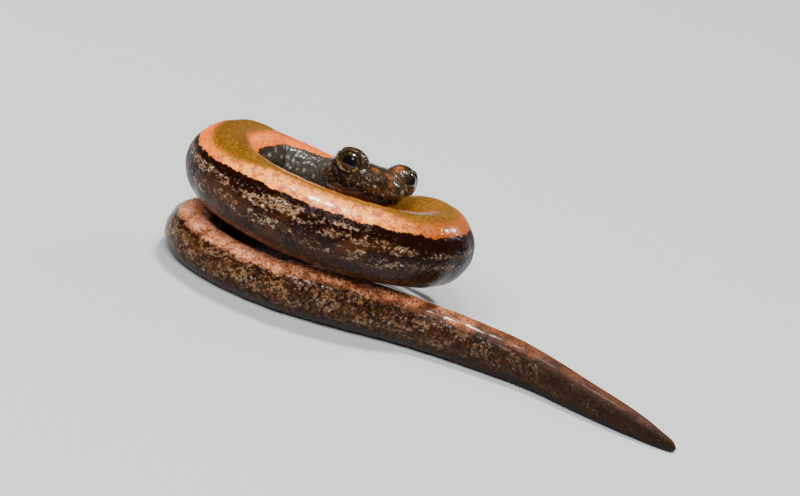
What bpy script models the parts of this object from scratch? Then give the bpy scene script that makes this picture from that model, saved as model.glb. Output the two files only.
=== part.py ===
"""California slender salamander, coiled on the ground, life size.

Metres, +Z up, with the tail pointing along +X and the floor at z = 0.
The animal is laid out along one centre line that runs from the tip of the
snout to the tip of the tail. Distances along it are in millimetres.
"""
import math

import bpy
import bmesh
from mathutils import Matrix
from mathutils import Vector

MM = 0.001
UP = Vector((0.0, 0.0, 1.0))

# Everything below is in millimetres and degrees until it becomes a mesh.
# GAP parts neighbouring pieces. BELLY flattens the underside, and FLAT is how far the floor presses it.
GAP = 0.28
BELLY = 0.94
FLAT = 0.06

# The coil, seen from above. Turn angles run anticlockwise from +X.
COIL_Y = 3.48
UPPER_LEFT = 6.57
UPPER_FRONT = 4.31
UPPER_RIGHT = 6.60
UPPER_BACK_LEFT = 3.93
FAR_BACK = 5.22
LOWER_LEFT = 7.24
LOWER_FRONT = 4.30
UPPER_HEIGHT = 5.86
UPPER_FALL = 0.0048
DROP_START = 377.0
DROP_TURN = 107.0
# The lower loop's far part lies further in by a smooth hump: how far, and the turn angles of its
# middle and of its reach.
TUCK = 2.8
TUCK_TURN = 468.0
TUCK_REACH = 38.0
COIL_FROM = 150
COIL_TO = 615
COIL_STEP = 15

# The head, as it leans on the inner slope of the coil.
EYE_MIDDLE = Vector((1.98, 3.90, 7.94))
HEAD_YAW = 27.0
HEAD_PITCH = 17.0
HEAD_ROLL = 10.0
EYE_BACK = 1.75
EYE_UP = 0.74
EYE_SIDE = 1.66
EYE_RADIUS = 0.76
EYE_OUT = 36.0
EYE_LIFT = 8.0
SOCKET_GAP = 0.18
LID = 0.10
EYE_SQUASH = 0.94

# Neck and straight tail, as points of the centre line.
NECK_POINTS = ((-0.66, 6.90, 5.62), (-2.35, 7.45, 5.48), (-4.10, 7.30, 5.52))
TAIL_POINTS = ((1.34, -0.56), (5.9, 0.10), (10.5, 0.06), (14.0, -0.40), (17.2, -1.60),
               (19.9, -2.50), (21.8, -2.98), (22.85, -3.15))

# Girth: distance from the snout, half width, half height.
HEAD_END = 4.6
GIRTH = ((4.2, 2.04, 1.28), (5.6, 1.66, 1.34), (7.2, 1.54, 1.42), (9.4, 1.72, 1.62),
         (12.5, 2.02, 1.98), (17.0, 2.16, 2.17), (30.0, 2.18, 2.19), (34.5, 2.02, 2.02),
         (38.0, 1.80, 1.80), (43.5, 1.62, 1.64), (50.0, 1.46, 1.50), (57.0, 1.42, 1.46))
# Girth of the end of the tail: distance from its tip, half width and height.
TAPER = ((0.0, 0.30), (1.0, 0.47), (2.2, 0.66), (3.6, 0.80), (6.0, 0.96), (8.4, 1.10),
         (11.0, 1.26), (15.0, 1.38), (20.0, 1.53), (24.5, 1.49))
TIP_ROUND = 0.35
# Half height over half width near the end of the tail.
TAIL_DEPTH = 1.04

# Folds of the flank, between the limbs and along the tail.
SHOULDER = 10.4
HIP = 35.2
VENT = 37.2
COSTAL_FOLDS = 20
FOLD_DEPTH = 0.07
TAIL_FOLD = 1.45
GULAR_FOLD = 6.6
GULAR_DEPTH = 0.10

# Distance from the root of a leg to its wrist, and the spread and reach of each toe.
WRIST = 2.2
TOES = ((-19.0, 0.62), (-6.5, 0.92), (7.0, 1.0), (20.0, 0.70))

TRUNK_SIDES = 24
TAIL_SIDES = 18

SKIN_DARK = (0.055, 0.030, 0.022)
SKIN_STRIPE = (0.36, 0.19, 0.10)
SKIN_LIMB = (0.10, 0.055, 0.04)
EYE_DARK = (0.012, 0.008, 0.006)


def smooth(value):
    """Ease from 0 to 1."""
    value = min(max(value, 0.0), 1.0)
    return value * value * (3.0 - 2.0 * value)


def slope(table, row, column):
    """How fast a column of a table rises at one of its rows."""
    before = table[max(row - 1, 0)]
    behind = table[min(row + 1, len(table) - 1)]
    return (behind[column] - before[column]) / (behind[0] - before[0])


def between(table, at, column):
    """Read a column of a table of sizes at any place, on a smooth curve through its rows."""
    at = min(max(at, table[0][0]), table[-1][0])
    low = max(row for row in range(len(table) - 1) if table[row][0] <= at)
    span = table[low + 1][0] - table[low][0]
    share = (at - table[low][0]) / span
    size = table[low][column] + (table[low + 1][column] - table[low][column]) * smooth(share)
    size += slope(table, low, column) * span * share * (1.0 - share) ** 2
    return size - slope(table, low + 1, column) * span * share ** 2 * (1.0 - share)


def coil_point(turn):
    """Middle of the body at a turn angle, by quarters of ellipses that sink to the floor."""
    across = math.cos(math.radians(turn))
    away = math.sin(math.radians(turn))
    if across > 0.0:
        reach_x = UPPER_RIGHT
    else:
        reach_x = UPPER_LEFT if turn < 360 else LOWER_LEFT
    if away > 0.0:
        reach_y = UPPER_BACK_LEFT if turn < 180 else FAR_BACK
    else:
        reach_y = UPPER_FRONT if turn < 400 else LOWER_FRONT
    sunk = smooth((turn - DROP_START) / DROP_TURN)
    height = (UPPER_HEIGHT - UPPER_FALL * (turn - 180)) * (1.0 - sunk) + 1.5 * sunk
    tucked = TUCK * math.exp(-((turn - TUCK_TURN) / TUCK_REACH) ** 2)
    return Vector((reach_x * across, COIL_Y + reach_y * away - tucked, height))


def head_axes():
    """Forward, left and up of the head."""
    yaw = math.radians(HEAD_YAW)
    pitch = math.radians(HEAD_PITCH)
    roll = math.radians(HEAD_ROLL)
    forward = Vector((math.sin(yaw) * math.cos(pitch), -math.cos(yaw) * math.cos(pitch), math.sin(pitch)))
    level_left = UP.cross(forward).normalized()
    level_up = forward.cross(level_left)
    left = level_left * math.cos(roll) - level_up * math.sin(roll)
    up = level_up * math.cos(roll) + level_left * math.sin(roll)
    return forward, left, up


FORWARD, LEFT, HEAD_UP = head_axes()
SNOUT = EYE_MIDDLE + FORWARD * EYE_BACK - HEAD_UP * EYE_UP


def head_place(back, side, height):
    """A point given in the head's own directions, from the tip of the snout."""
    return SNOUT - FORWARD * back + LEFT * side + HEAD_UP * height


def spline(points, steps):
    """A smooth line through points, whose bends follow their spacing."""
    line = []
    last = len(points) - 1
    for index in range(last):
        before = points[max(index - 1, 0)]
        start = points[index]
        end = points[index + 1]
        after = points[min(index + 2, last)]
        span = (end - start).length
        span_in = max((start - before).length, 1e-6) if index > 0 else span
        span_out = max((after - end).length, 1e-6) if index + 2 <= last else span
        leave = (end - start) / span
        if index > 0:
            leave = ((start - before) / span_in * span + (end - start) / span * span_in) / (span + span_in)
        arrive = (end - start) / span
        if index + 2 <= last:
            arrive = ((after - end) / span_out * span + (end - start) / span * span_out) / (span + span_out)
        for step in range(steps):
            t = step / steps
            line.append(start * (2 * t ** 3 - 3 * t ** 2 + 1) + end * (3 * t ** 2 - 2 * t ** 3)
                        + leave * span * (t ** 3 - 2 * t ** 2 + t) + arrive * span * (t ** 3 - t ** 2))
    line.append(points[-1].copy())
    return line


def centre_points():
    """The centre line's own points, from the snout to the tip of the tail."""
    points = [head_place(back, 0.0, 0.0) for back in (0.0, 1.4, 2.9, 4.2)]
    points += [Vector(point) for point in NECK_POINTS]
    points += [coil_point(turn) for turn in range(COIL_FROM, COIL_TO + 1, COIL_STEP)]
    points += [Vector((x, y, 1.4)) for x, y in TAIL_POINTS]
    return points


LINE = spline(centre_points(), 12)
LENGTHS = [0.0]
for first, second in zip(LINE, LINE[1:]):
    LENGTHS.append(LENGTHS[-1] + (second - first).length)
TOTAL = LENGTHS[-1]
ON_FLOOR = 46.0


def line_point(at):
    """A point of the centre line at a distance from the snout."""
    if at <= 0.0:
        return LINE[0] + (LINE[0] - LINE[1]).normalized() * -at
    if at >= TOTAL:
        return LINE[-1] + (LINE[-1] - LINE[-2]).normalized() * (at - TOTAL)
    low = 0
    high = len(LINE) - 1
    while high - low > 1:
        middle = (low + high) // 2
        if LENGTHS[middle] <= at:
            low = middle
        else:
            high = middle
    share = (at - LENGTHS[low]) / (LENGTHS[high] - LENGTHS[low])
    return LINE[low].lerp(LINE[high], share)


def girth(at):
    """Half width and half height of the body."""
    from_tip = TOTAL - at
    if from_tip < TAPER[-1][0]:
        size = between(TAPER, from_tip, 1)
        return size, size * TAIL_DEPTH
    return between(GIRTH, at, 1), between(GIRTH, at, 2)


def place(at):
    """Centre, left and up of the body. It settles on the floor behind the coil's drop."""
    centre = line_point(at)
    along = (line_point(at + 0.25) - line_point(at - 0.25)).normalized()
    settled = smooth((at - ON_FLOOR) / 6.0)
    if settled > 0.0:
        rest = girth(at)[1] * BELLY - FLAT
        centre = Vector((centre.x, centre.y, centre.z * (1.0 - settled) + rest * settled))
        along = Vector((along.x, along.y, along.z * (1.0 - settled))).normalized()
    left = along.cross(UP).normalized()
    up = left.cross(along)
    rolled = math.radians(HEAD_ROLL) * (1.0 - smooth((at - 3.0) / 6.0))
    leaning_left = left * math.cos(rolled) - up * math.sin(rolled)
    leaning_up = up * math.cos(rolled) + left * math.sin(rolled)
    return centre, leaning_left, leaning_up


def fold(at):
    """Swelling of the folds, 0 in a groove and 1 on a fold."""
    pitch = (HIP - SHOULDER) / COSTAL_FOLDS
    if SHOULDER <= at <= HIP:
        phase = (at - SHOULDER) / pitch
        strength = 1.0
    elif at > VENT:
        phase = (at - VENT) / TAIL_FOLD
        strength = 0.75 * smooth((TOTAL - at - 3.0) / 12.0)
    else:
        return 1.0, 0.0
    return abs(math.sin(math.pi * phase)) ** 0.6, strength


def skin_point(at, angle, lift=0.0):
    """A point of the skin. The angle runs from the back, 0, over the left flank to the belly, 180."""
    centre, left, up = place(at)
    wide, high = girth(at)
    swell, strength = fold(at)
    turn = math.radians(angle)
    on_flank = abs(math.sin(turn)) ** 0.8
    scale = 1.0 - FOLD_DEPTH * strength * (1.0 - swell) * on_flank / wide
    if at > VENT:
        scale *= 1.0 - 0.02 * math.cos(turn)
    under = smooth((min(angle, 360.0 - angle) - 70.0) / 40.0)
    scale -= GULAR_DEPTH * math.exp(-((at - GULAR_FOLD) / 0.25) ** 2) * under
    scale += 0.03 * math.exp(-((at - VENT) / 0.9) ** 2) * under
    belly = BELLY if math.cos(turn) < 0.0 else 1.0
    outward = left * math.sin(turn) + up * math.cos(turn)
    point = centre + left * wide * scale * math.sin(turn) + up * high * scale * belly * math.cos(turn)
    point += outward * lift
    if lift == 0.0:
        point.z = max(point.z, 0.0)
    return point


def material(name, colour, roughness):
    """A wet, glossy skin colour."""
    made = bpy.data.materials.new(name)
    made.use_nodes = True
    shader = made.node_tree.nodes["Principled BSDF"]
    shader.inputs["Base Color"].default_value = (*colour, 1.0)
    shader.inputs["Roughness"].default_value = roughness
    shader.inputs["Metallic"].default_value = 0.0
    return made


def keep_largest(form):
    """Keep only the largest closed surface of a mesh in editing."""
    left_over = set(form.faces)
    groups = []
    while left_over:
        group = {left_over.pop()}
        edge_of_group = list(group)
        while edge_of_group:
            face = edge_of_group.pop()
            for edge in face.edges:
                for other in edge.link_faces:
                    if other in left_over:
                        left_over.discard(other)
                        group.add(other)
                        edge_of_group.append(other)
        groups.append(group)
    groups.sort(key=len)
    for group in groups[:-1]:
        bmesh.ops.delete(form, geom=list(group), context="FACES")


def finish(name, form, look):
    """Turn a mesh in editing, in millimetres, into a named object in metres."""
    bmesh.ops.scale(form, vec=(MM, MM, MM), verts=form.verts)
    bmesh.ops.recalc_face_normals(form, faces=form.faces)
    mesh = bpy.data.meshes.new(name)
    form.to_mesh(mesh)
    form.free()
    mesh.shade_smooth()
    mesh.set_sharp_from_angle(angle=math.radians(50))
    mesh.materials.append(look)
    made = bpy.data.objects.new(name, mesh)
    PARTS.objects.link(made)
    return made


def loft(rings, tip=False, nose=False):
    """A closed tube through rings of points, with flat ends or a point at either end."""
    form = bmesh.new()
    rows = [[form.verts.new(point) for point in ring] for ring in rings]
    count = len(rows[0])
    for row, following in zip(rows, rows[1:]):
        for index in range(count):
            beside = (index + 1) % count
            form.faces.new((row[index], row[beside], following[beside], following[index]))
    for row, pointed in ((rows[0], nose), (rows[-1], tip)):
        centre = form.verts.new(sum((vert.co for vert in row), Vector()) / count)
        if pointed:
            centre.co = pointed
        for index in range(count):
            form.faces.new((row[index], row[(index + 1) % count], centre))
    return form


def body_ring(at, sides):
    """One ring of points round the body."""
    return [skin_point(at, 360.0 * (step + 0.5) / sides) for step in range(sides)]


def body_rings(start, end, sides):
    """Rings of the body between two places, set on the grooves and on the folds."""
    marks = [start, end]
    pitch = (HIP - SHOULDER) / COSTAL_FOLDS
    marks += [SHOULDER + pitch * step / 3.0 for step in range(COSTAL_FOLDS * 3 + 1)]
    marks += [VENT + TAIL_FOLD * step / 2.5 for step in range(int((TOTAL - VENT) / TAIL_FOLD * 2.5))]
    marks += [HEAD_END + 0.5 * step for step in range(12)]
    marks += [GULAR_FOLD - 0.3, GULAR_FOLD, GULAR_FOLD + 0.3]
    marks = sorted(mark for mark in marks if start <= mark <= end)
    kept = [marks[0]]
    for mark in marks[1:-1]:
        if mark - kept[-1] > 0.2 and end - mark > 0.2:
            kept.append(mark)
    kept.append(marks[-1])
    return [body_ring(at, sides) for at in kept]


def body_length(name, start, end, sides, look, to_tip=False):
    """One length of neck, trunk or tail, cut clear of its neighbours."""
    first = start + GAP / 2
    last = end - (TIP_ROUND if to_tip else GAP / 2)
    rings = body_rings(first, last, sides)
    tip = False
    if to_tip:
        tip = place(TOTAL)[0]
        for from_tip in (0.18, 0.05):
            middle = place(TOTAL - from_tip)[0]
            drawn_in = math.sqrt(from_tip / TIP_ROUND)
            rings.append([middle + (point - middle) * drawn_in
                          for point in body_ring(TOTAL - from_tip, sides)])
    return finish(name, loft(rings, tip=tip), look)


# Head sections: distance from the snout, half width, height above and below the middle.
HEAD_SECTIONS = ((0.0, 0.0, 0.0, 0.0), (0.12, 0.90, 0.40, 0.46), (0.35, 1.28, 0.62, 0.66),
                 (0.7, 1.60, 0.84, 0.82), (1.2, 1.90, 1.06, 0.95), (1.8, 2.10, 1.20, 1.06),
                 (2.6, 2.26, 1.24, 1.16), (3.3, 2.28, 1.25, 1.24), (4.2, 2.04, 1.28, 1.28),
                 (4.8, 1.86, 1.30, 1.28))
# The line of the mouth: its depth below the tip of the snout, its fall along the snout, how quickly it
# falls, and its rise towards the corner.
MOUTH_LOW = 0.27
MOUTH_FALL = 0.50
MOUTH_BEND = 0.8
MOUTH_RISE = 0.14
MOUTH_BACK = 3.3
MOUTH_DEPTH = 0.13
BOXINESS = 0.86
NOSTRIL_BACK = 0.26
NOSTRIL_ANGLE = 62.0
# Angles of half a head ring from the back of the head down to the lip, and from the lip to the throat.
ABOVE_LIP = 9
BELOW_LIP = 6
LIP_STEP = 4.5


def mouth_height(back):
    """Height of the line of the mouth, which arches over the tip of the snout and rises at its corner."""
    fall = MOUTH_FALL * (1.0 - math.exp(-back / MOUTH_BEND))
    return -MOUTH_LOW - fall + MOUTH_RISE * smooth((back - 2.2) / 1.1)


def head_size(back, column):
    """A size of the head's section. Distances enter by their square root, which rounds the snout."""
    rooted = [(math.sqrt(row[0]), *row[1:]) for row in HEAD_SECTIONS]
    return between(rooted, math.sqrt(max(back, 0.0)), column)


def head_section(back, angle):
    """A point of the head's skin in its own directions, before eyes and nostrils."""
    wide = head_size(back, 1)
    above = head_size(back, 2)
    below = head_size(back, 3)
    turn = math.radians(angle)
    side = math.copysign(abs(math.sin(turn)) ** BOXINESS, math.sin(turn)) * wide
    reach = above if math.cos(turn) > 0 else below
    return side, math.copysign(abs(math.cos(turn)) ** BOXINESS, math.cos(turn)) * reach


def mouth_angle(back):
    """Angle at which a head ring meets the line of the mouth."""
    share = min(-mouth_height(back) / head_size(back, 3), 0.9)
    return 180.0 - math.degrees(math.acos(share ** (1.0 / BOXINESS)))


def half_head_angles(back):
    """Angles of the left half of a head ring, three of them at the line of the mouth."""
    lip = mouth_angle(back)
    top_step = (lip - LIP_STEP) / (ABOVE_LIP - 0.5)
    low_step = (180.0 - lip - LIP_STEP) / (BELOW_LIP + 0.5)
    angles = [top_step * (step + 0.5) for step in range(ABOVE_LIP)]
    angles += [lip]
    angles += [lip + LIP_STEP + low_step * step for step in range(BELOW_LIP + 1)]
    return angles


def head_rings():
    """Rings of the head from the snout to the cut behind the jaws."""
    marks = [0.02, 0.07, 0.16, 0.30, 0.50]
    marks += [0.75 + 0.3 * step for step in range(12)]
    marks += [4.3, HEAD_END - GAP / 2]
    rings = []
    for back in marks:
        ring = []
        blend = smooth((back - 3.3) / 0.95)
        groove = MOUTH_DEPTH * smooth((MOUTH_BACK - back) / 0.5) * smooth(back / 0.15)
        left_half = half_head_angles(back)
        for index, turn in enumerate(left_half + [360.0 - angle for angle in reversed(left_half)]):
            side, height = head_section(back, turn)
            if min(index, 2 * len(left_half) - 1 - index) == ABOVE_LIP:
                pull = 1.0 - groove / math.hypot(side, height)
                side *= pull
                height *= pull
            own = head_place(back, side, height)
            ring.append(own.lerp(skin_point(back, turn), blend))
        rings.append(ring)
    return rings


def eye_centre(hand):
    """Middle of an eyeball, on the left with hand 1 and on the right with hand -1."""
    return head_place(EYE_BACK, EYE_SIDE * hand, EYE_UP)


def eye_axis(hand):
    """The way an eye looks."""
    out = math.radians(90.0 - EYE_OUT)
    lift = math.radians(EYE_LIFT)
    flat = FORWARD * math.sin(out) + LEFT * hand * math.cos(out)
    return (flat * math.cos(lift) + HEAD_UP * math.sin(lift)).normalized()


def nostril_place(hand):
    """A nostril, on the skin of the front corner of the snout."""
    side, height = head_section(NOSTRIL_BACK, NOSTRIL_ANGLE)
    return head_place(NOSTRIL_BACK, side * hand, height)


def ball(name, centre, radius, around, rows, axis=UP, squash=(1.0, 1.0, 1.0)):
    """A cutter or a lump: a sphere whose poles lie on an axis, as an object."""
    form = bmesh.new()
    bmesh.ops.create_uvsphere(form, u_segments=around, v_segments=rows, radius=radius * MM)
    bmesh.ops.scale(form, vec=squash, verts=form.verts)
    mesh = bpy.data.meshes.new(name)
    turned = axis.to_track_quat("Z", "Y").to_matrix().to_4x4()
    form.transform(Matrix.Translation(centre * MM) @ turned)
    form.to_mesh(mesh)
    form.free()
    made = bpy.data.objects.new(name, mesh)
    CUTTERS.objects.link(made)
    made.hide_render = True
    made.display_type = "WIRE"
    return made


def combine(target, pieces, operation, solver="EXACT"):
    """Join pieces to a solid, or cut them from it, in one Boolean that is applied."""
    together = bpy.data.collections.new("together")
    bpy.context.scene.collection.children.link(together)
    for piece in pieces:
        together.objects.link(piece)
    modifier = target.modifiers.new("combine", "BOOLEAN")
    modifier.operand_type = "COLLECTION"
    modifier.collection = together
    modifier.operation = operation
    modifier.solver = solver
    bpy.context.view_layer.update()
    seen = bpy.context.evaluated_depsgraph_get()
    mesh = bpy.data.meshes.new_from_object(target.evaluated_get(seen))
    target.modifiers.clear()
    old = target.data
    target.data = mesh
    bpy.data.meshes.remove(old)
    for piece in pieces:
        bpy.data.objects.remove(piece)
    bpy.data.collections.remove(together)
    form = bmesh.new()
    form.from_mesh(mesh)
    keep_largest(form)
    bmesh.ops.triangulate(form, faces=form.faces)
    form.to_mesh(mesh)
    form.free()
    mesh.shade_smooth()
    mesh.set_sharp_from_angle(angle=math.radians(50))


def make_head(look):
    """The head with its lids, eye sockets, nostrils and the line of the mouth."""
    head = finish("head", loft(head_rings(), nose=head_place(0.0, 0.0, 0.0)), look)
    lumps = []
    cuts = []
    socket = EYE_RADIUS + SOCKET_GAP
    for hand in (1, -1):
        centre = eye_centre(hand)
        axis = eye_axis(hand)
        flat = (1.0, EYE_SQUASH, 1.0)
        lumps.append(ball("lids", centre - axis * 0.06, socket + LID, 20, 12, axis, flat))
        cuts.append(ball("socket", centre, socket, 20, 12, axis, (1.0, EYE_SQUASH + 0.02, 1.0)))
        cuts.append(ball("opening", centre + axis * 0.90, 0.74, 16, 10, axis, (1.0, 0.86, 1.0)))
        cuts.append(ball("nostril", nostril_place(hand), 0.12, 8, 6))
    combine(head, lumps, "UNION")
    combine(head, cuts, "DIFFERENCE")
    return head


def make_eye(name, hand, look):
    """An eyeball."""
    form = bmesh.new()
    bmesh.ops.create_uvsphere(form, u_segments=18, v_segments=12, radius=EYE_RADIUS)
    turned = eye_axis(hand).to_track_quat("Z", "Y").to_matrix().to_4x4()
    form.transform(Matrix.Translation(eye_centre(hand)) @ turned)
    return finish(name, form, look)


def tube(path, sizes, sides, flatness=1.0, lie=None, tip=True):
    """A tapered limb or toe along a few points, with a rounded end."""
    line = spline(path, 4)
    total = len(line) - 1
    rings = []
    for index, point in enumerate(line):
        ahead = line[min(index + 1, total)]
        behind = line[max(index - 1, 0)]
        along = (ahead - behind).normalized()
        across = along.cross(lie).normalized()
        out = across.cross(along)
        share = index / total * (len(sizes) - 1)
        low = min(int(share), len(sizes) - 2)
        size = sizes[low] + (sizes[low + 1] - sizes[low]) * (share - low)
        rings.append([point + across * size * math.cos(math.tau * step / sides)
                      + out * size * flatness * math.sin(math.tau * step / sides) for step in range(sides)])
    end = None
    if tip:
        along = (line[-1] - line[-2]).normalized()
        shrunk = [line[-1] + along * sizes[-1] * 0.6 + (point - line[-1]) * 0.7 for point in rings[-1]]
        rings.append(shrunk)
        end = line[-1] + along * sizes[-1] * 0.95
    return loft(rings, tip=end or False)


def limb_point(root, hand, back, angle, lift):
    """A point beside the flank, on the left with hand 1 and on the right with hand -1.

    The distance back is measured beside the skin, which is short inside the coil's bend."""
    own_angle = angle if hand > 0 else 360.0 - angle
    at = root
    spot = skin_point(at, own_angle, lift)
    walked = 0.0
    while walked < back:
        at += 0.02
        ahead = skin_point(at, own_angle, lift)
        walked += (ahead - spot).length
        spot = ahead
    return spot


def away_from_flank(root, hand, back, angle):
    """The way straight out of the flank beside a limb."""
    near = limb_point(root, hand, back, angle, 0.1)
    return (limb_point(root, hand, back, angle, 1.0) - near).normalized()


def make_leg(name, root, angle, hand, size, look):
    """A short leg, from its root on the flank over the bent joint to the wrist or ankle."""
    lie = away_from_flank(root, hand, 0.8, angle)
    path = [limb_point(root, hand, 0.0, angle, GAP),
            limb_point(root, hand, 0.08, angle - 1.0, GAP + 0.34 * size),
            limb_point(root, hand, 0.60 * size, angle - 6.0, GAP + 0.58 * size),
            limb_point(root, hand, 1.35 * size, angle - 8.0, GAP + 0.52 * size),
            limb_point(root, hand, WRIST * size, angle, GAP + 0.44 * size)]
    sizes = [0.46 * size, 0.45 * size, 0.42 * size, 0.38 * size, 0.31 * size]
    finish(name, tube(path, sizes, 10, 0.95, lie, tip=False), look)


def make_foot(name, root, angle, hand, size, look):
    """A foot laid flat against the flank, with four toes joined at their bases."""
    wrist = WRIST * size + GAP
    lie = away_from_flank(root, hand, wrist, angle)
    palm = [limb_point(root, hand, wrist, angle, GAP + 0.42 * size),
            limb_point(root, hand, wrist + 0.35 * size, angle, GAP + 0.34),
            limb_point(root, hand, wrist + 0.80 * size, angle, GAP + 0.30)]
    foot = finish(name, tube(palm, [0.31 * size, 0.47 * size, 0.45 * size], 10, 0.62, lie), look)
    toes = []
    for index, (spread, reach) in enumerate(TOES):
        middle = wrist + (0.75 + 0.35 * reach) * size
        end = wrist + (0.85 + 0.85 * reach) * size
        path = [limb_point(root, hand, wrist + 0.45 * size, angle + spread * 0.3, GAP + 0.30),
                limb_point(root, hand, middle, angle + spread * 0.75, GAP + 0.27),
                limb_point(root, hand, end, angle + spread * 1.1, GAP + 0.25)]
        toe = finish("toe_%d" % index, tube(path, [0.24, 0.23, 0.21], 8, 1.0, lie), look)
        PARTS.objects.unlink(toe)
        toes.append(toe)
    combine(foot, toes, "UNION", "MANIFOLD")


for old in list(bpy.data.objects):
    bpy.data.objects.remove(old)
PARTS = bpy.data.collections.new("california_slender_salamander")
CUTTERS = bpy.data.collections.new("cutters")
bpy.context.scene.collection.children.link(PARTS)
bpy.context.scene.collection.children.link(CUTTERS)

HEAD_LOOK = material("wet_head_skin", SKIN_DARK, 0.35)
EYE_LOOK = material("wet_eye", EYE_DARK, 0.05)
BACK_LOOK = material("wet_striped_skin", SKIN_STRIPE, 0.35)
LIMB_LOOK = material("wet_limb_skin", SKIN_LIMB, 0.35)

make_head(HEAD_LOOK)
make_eye("eye_left", 1, EYE_LOOK)
make_eye("eye_right", -1, EYE_LOOK)

TRUNK_ENDS = (SHOULDER + 1.1, 16.4, 21.4, 26.4, 31.4, VENT)
body_length("neck", HEAD_END, TRUNK_ENDS[0], TRUNK_SIDES, BACK_LOOK)
for index, (start, end) in enumerate(zip(TRUNK_ENDS, TRUNK_ENDS[1:])):
    body_length("trunk_%d" % (index + 1), start, end, TRUNK_SIDES, BACK_LOOK)
TAIL_ENDS = (VENT, 42.4, 47.6, 52.8, 58.0, 66.0, 75.0, TOTAL)
for index, (start, end) in enumerate(zip(TAIL_ENDS, TAIL_ENDS[1:])):
    body_length("tail_%d" % (index + 1), start, end, TAIL_SIDES, BACK_LOOK, to_tip=end == TOTAL)

for hand, side_name in ((1, "left"), (-1, "right")):
    for pair, root, angle, size in (("front", SHOULDER, 114.0, 0.92), ("hind", HIP, 112.0, 1.0)):
        make_leg(pair + "_leg_" + side_name, root, angle, hand, size, LIMB_LOOK)
        make_foot(pair + "_foot_" + side_name, root, angle, hand, size, LIMB_LOOK)


def stand_on_middle():
    """Put the origin under the middle of the whole animal, on the floor."""
    spots = [vertex.co for made in PARTS.objects for vertex in made.data.vertices]
    middle_x = (min(spot.x for spot in spots) + max(spot.x for spot in spots)) / 2
    middle_y = (min(spot.y for spot in spots) + max(spot.y for spot in spots)) / 2
    for made in PARTS.objects:
        made.location = (-middle_x, -middle_y, 0.0)


stand_on_middle()
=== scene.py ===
"""The looks of a California slender salamander: one wet, striped skin and two eyes, on a pale floor.

The animal is worked out in millimetres along one centre line, from the tip of the snout to the tip of
the tail, as its solids are. A piece becomes metres, in the frame's place, when it is finished.
"""
from math import cos, exp, pi, radians, sin, sqrt

import bpy
import numpy as np
from mathutils import Matrix, Vector, noise
from mathutils.kdtree import KDTree


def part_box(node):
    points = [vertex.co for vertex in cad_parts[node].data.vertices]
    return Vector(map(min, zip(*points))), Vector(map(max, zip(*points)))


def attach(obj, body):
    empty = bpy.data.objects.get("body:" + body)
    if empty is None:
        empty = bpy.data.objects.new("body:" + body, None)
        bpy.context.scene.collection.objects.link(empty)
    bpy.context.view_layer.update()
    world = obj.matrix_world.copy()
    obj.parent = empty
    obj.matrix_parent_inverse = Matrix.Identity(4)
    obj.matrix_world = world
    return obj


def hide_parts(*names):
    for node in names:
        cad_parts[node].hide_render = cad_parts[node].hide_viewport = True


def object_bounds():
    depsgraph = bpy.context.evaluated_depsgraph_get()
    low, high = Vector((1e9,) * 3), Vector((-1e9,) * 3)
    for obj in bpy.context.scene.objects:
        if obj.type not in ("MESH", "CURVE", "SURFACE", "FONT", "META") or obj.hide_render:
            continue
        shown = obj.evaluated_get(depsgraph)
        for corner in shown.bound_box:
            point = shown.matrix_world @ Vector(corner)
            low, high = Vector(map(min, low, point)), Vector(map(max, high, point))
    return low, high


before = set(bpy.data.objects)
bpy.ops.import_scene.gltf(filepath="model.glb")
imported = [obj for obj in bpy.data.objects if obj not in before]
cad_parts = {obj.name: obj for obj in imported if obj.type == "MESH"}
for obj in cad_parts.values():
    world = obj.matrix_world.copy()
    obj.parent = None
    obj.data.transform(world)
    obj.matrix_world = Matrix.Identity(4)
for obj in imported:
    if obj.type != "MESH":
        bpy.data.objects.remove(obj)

CAD_BOX = [list(corner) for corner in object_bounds()]
MM = 0.001
UP = np.array((0.0, 0.0, 1.0))

# The coil, seen from above. Turn angles run anticlockwise from +X. DROP is where the body sinks from the
# upper loop to the lower one. Like the other changes of shape it has a start and a reach. The body is
# tucked in at the front of the drop.
COIL_Y = 3.48
UPPER_LEFT = 6.57
UPPER_FRONT = 4.31
UPPER_RIGHT = 6.60
UPPER_BACK_LEFT = 3.93
FAR_BACK = 5.22
LOWER_LEFT = 7.24
LOWER_FRONT = 4.30
UPPER_HEIGHT = 5.86
UPPER_FALL = 0.0048
LOWER_HEIGHT = 1.5
DROP = (377.0, 107.0)
TUCK = 2.8
TUCK_TURN = 468.0
TUCK_REACH = 38.0
COIL_TURNS = range(150, 616, 15)
HEAD_LINE = (0.0, 1.4, 2.9, 4.2)
NECK_POINTS = ((-0.66, 6.90, 5.62), (-2.35, 7.45, 5.48), (-4.10, 7.30, 5.52))
TAIL_POINTS = ((1.34, -0.56), (5.9, 0.10), (10.5, 0.06), (14.0, -0.40), (17.2, -1.60),
               (19.9, -2.50), (21.8, -2.98), (22.85, -3.15))
TAIL_HEIGHT = 1.4

# Where the body settles on the floor, and where its round turns to the underside. The belly is a little
# flat.
BELLY = 0.94
FLAT = 0.06
TO_FLOOR = (46.0, 6.0)
TO_BELLY_SIDE = (70.0, 40.0)
LOOK_AHEAD = 0.25

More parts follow.
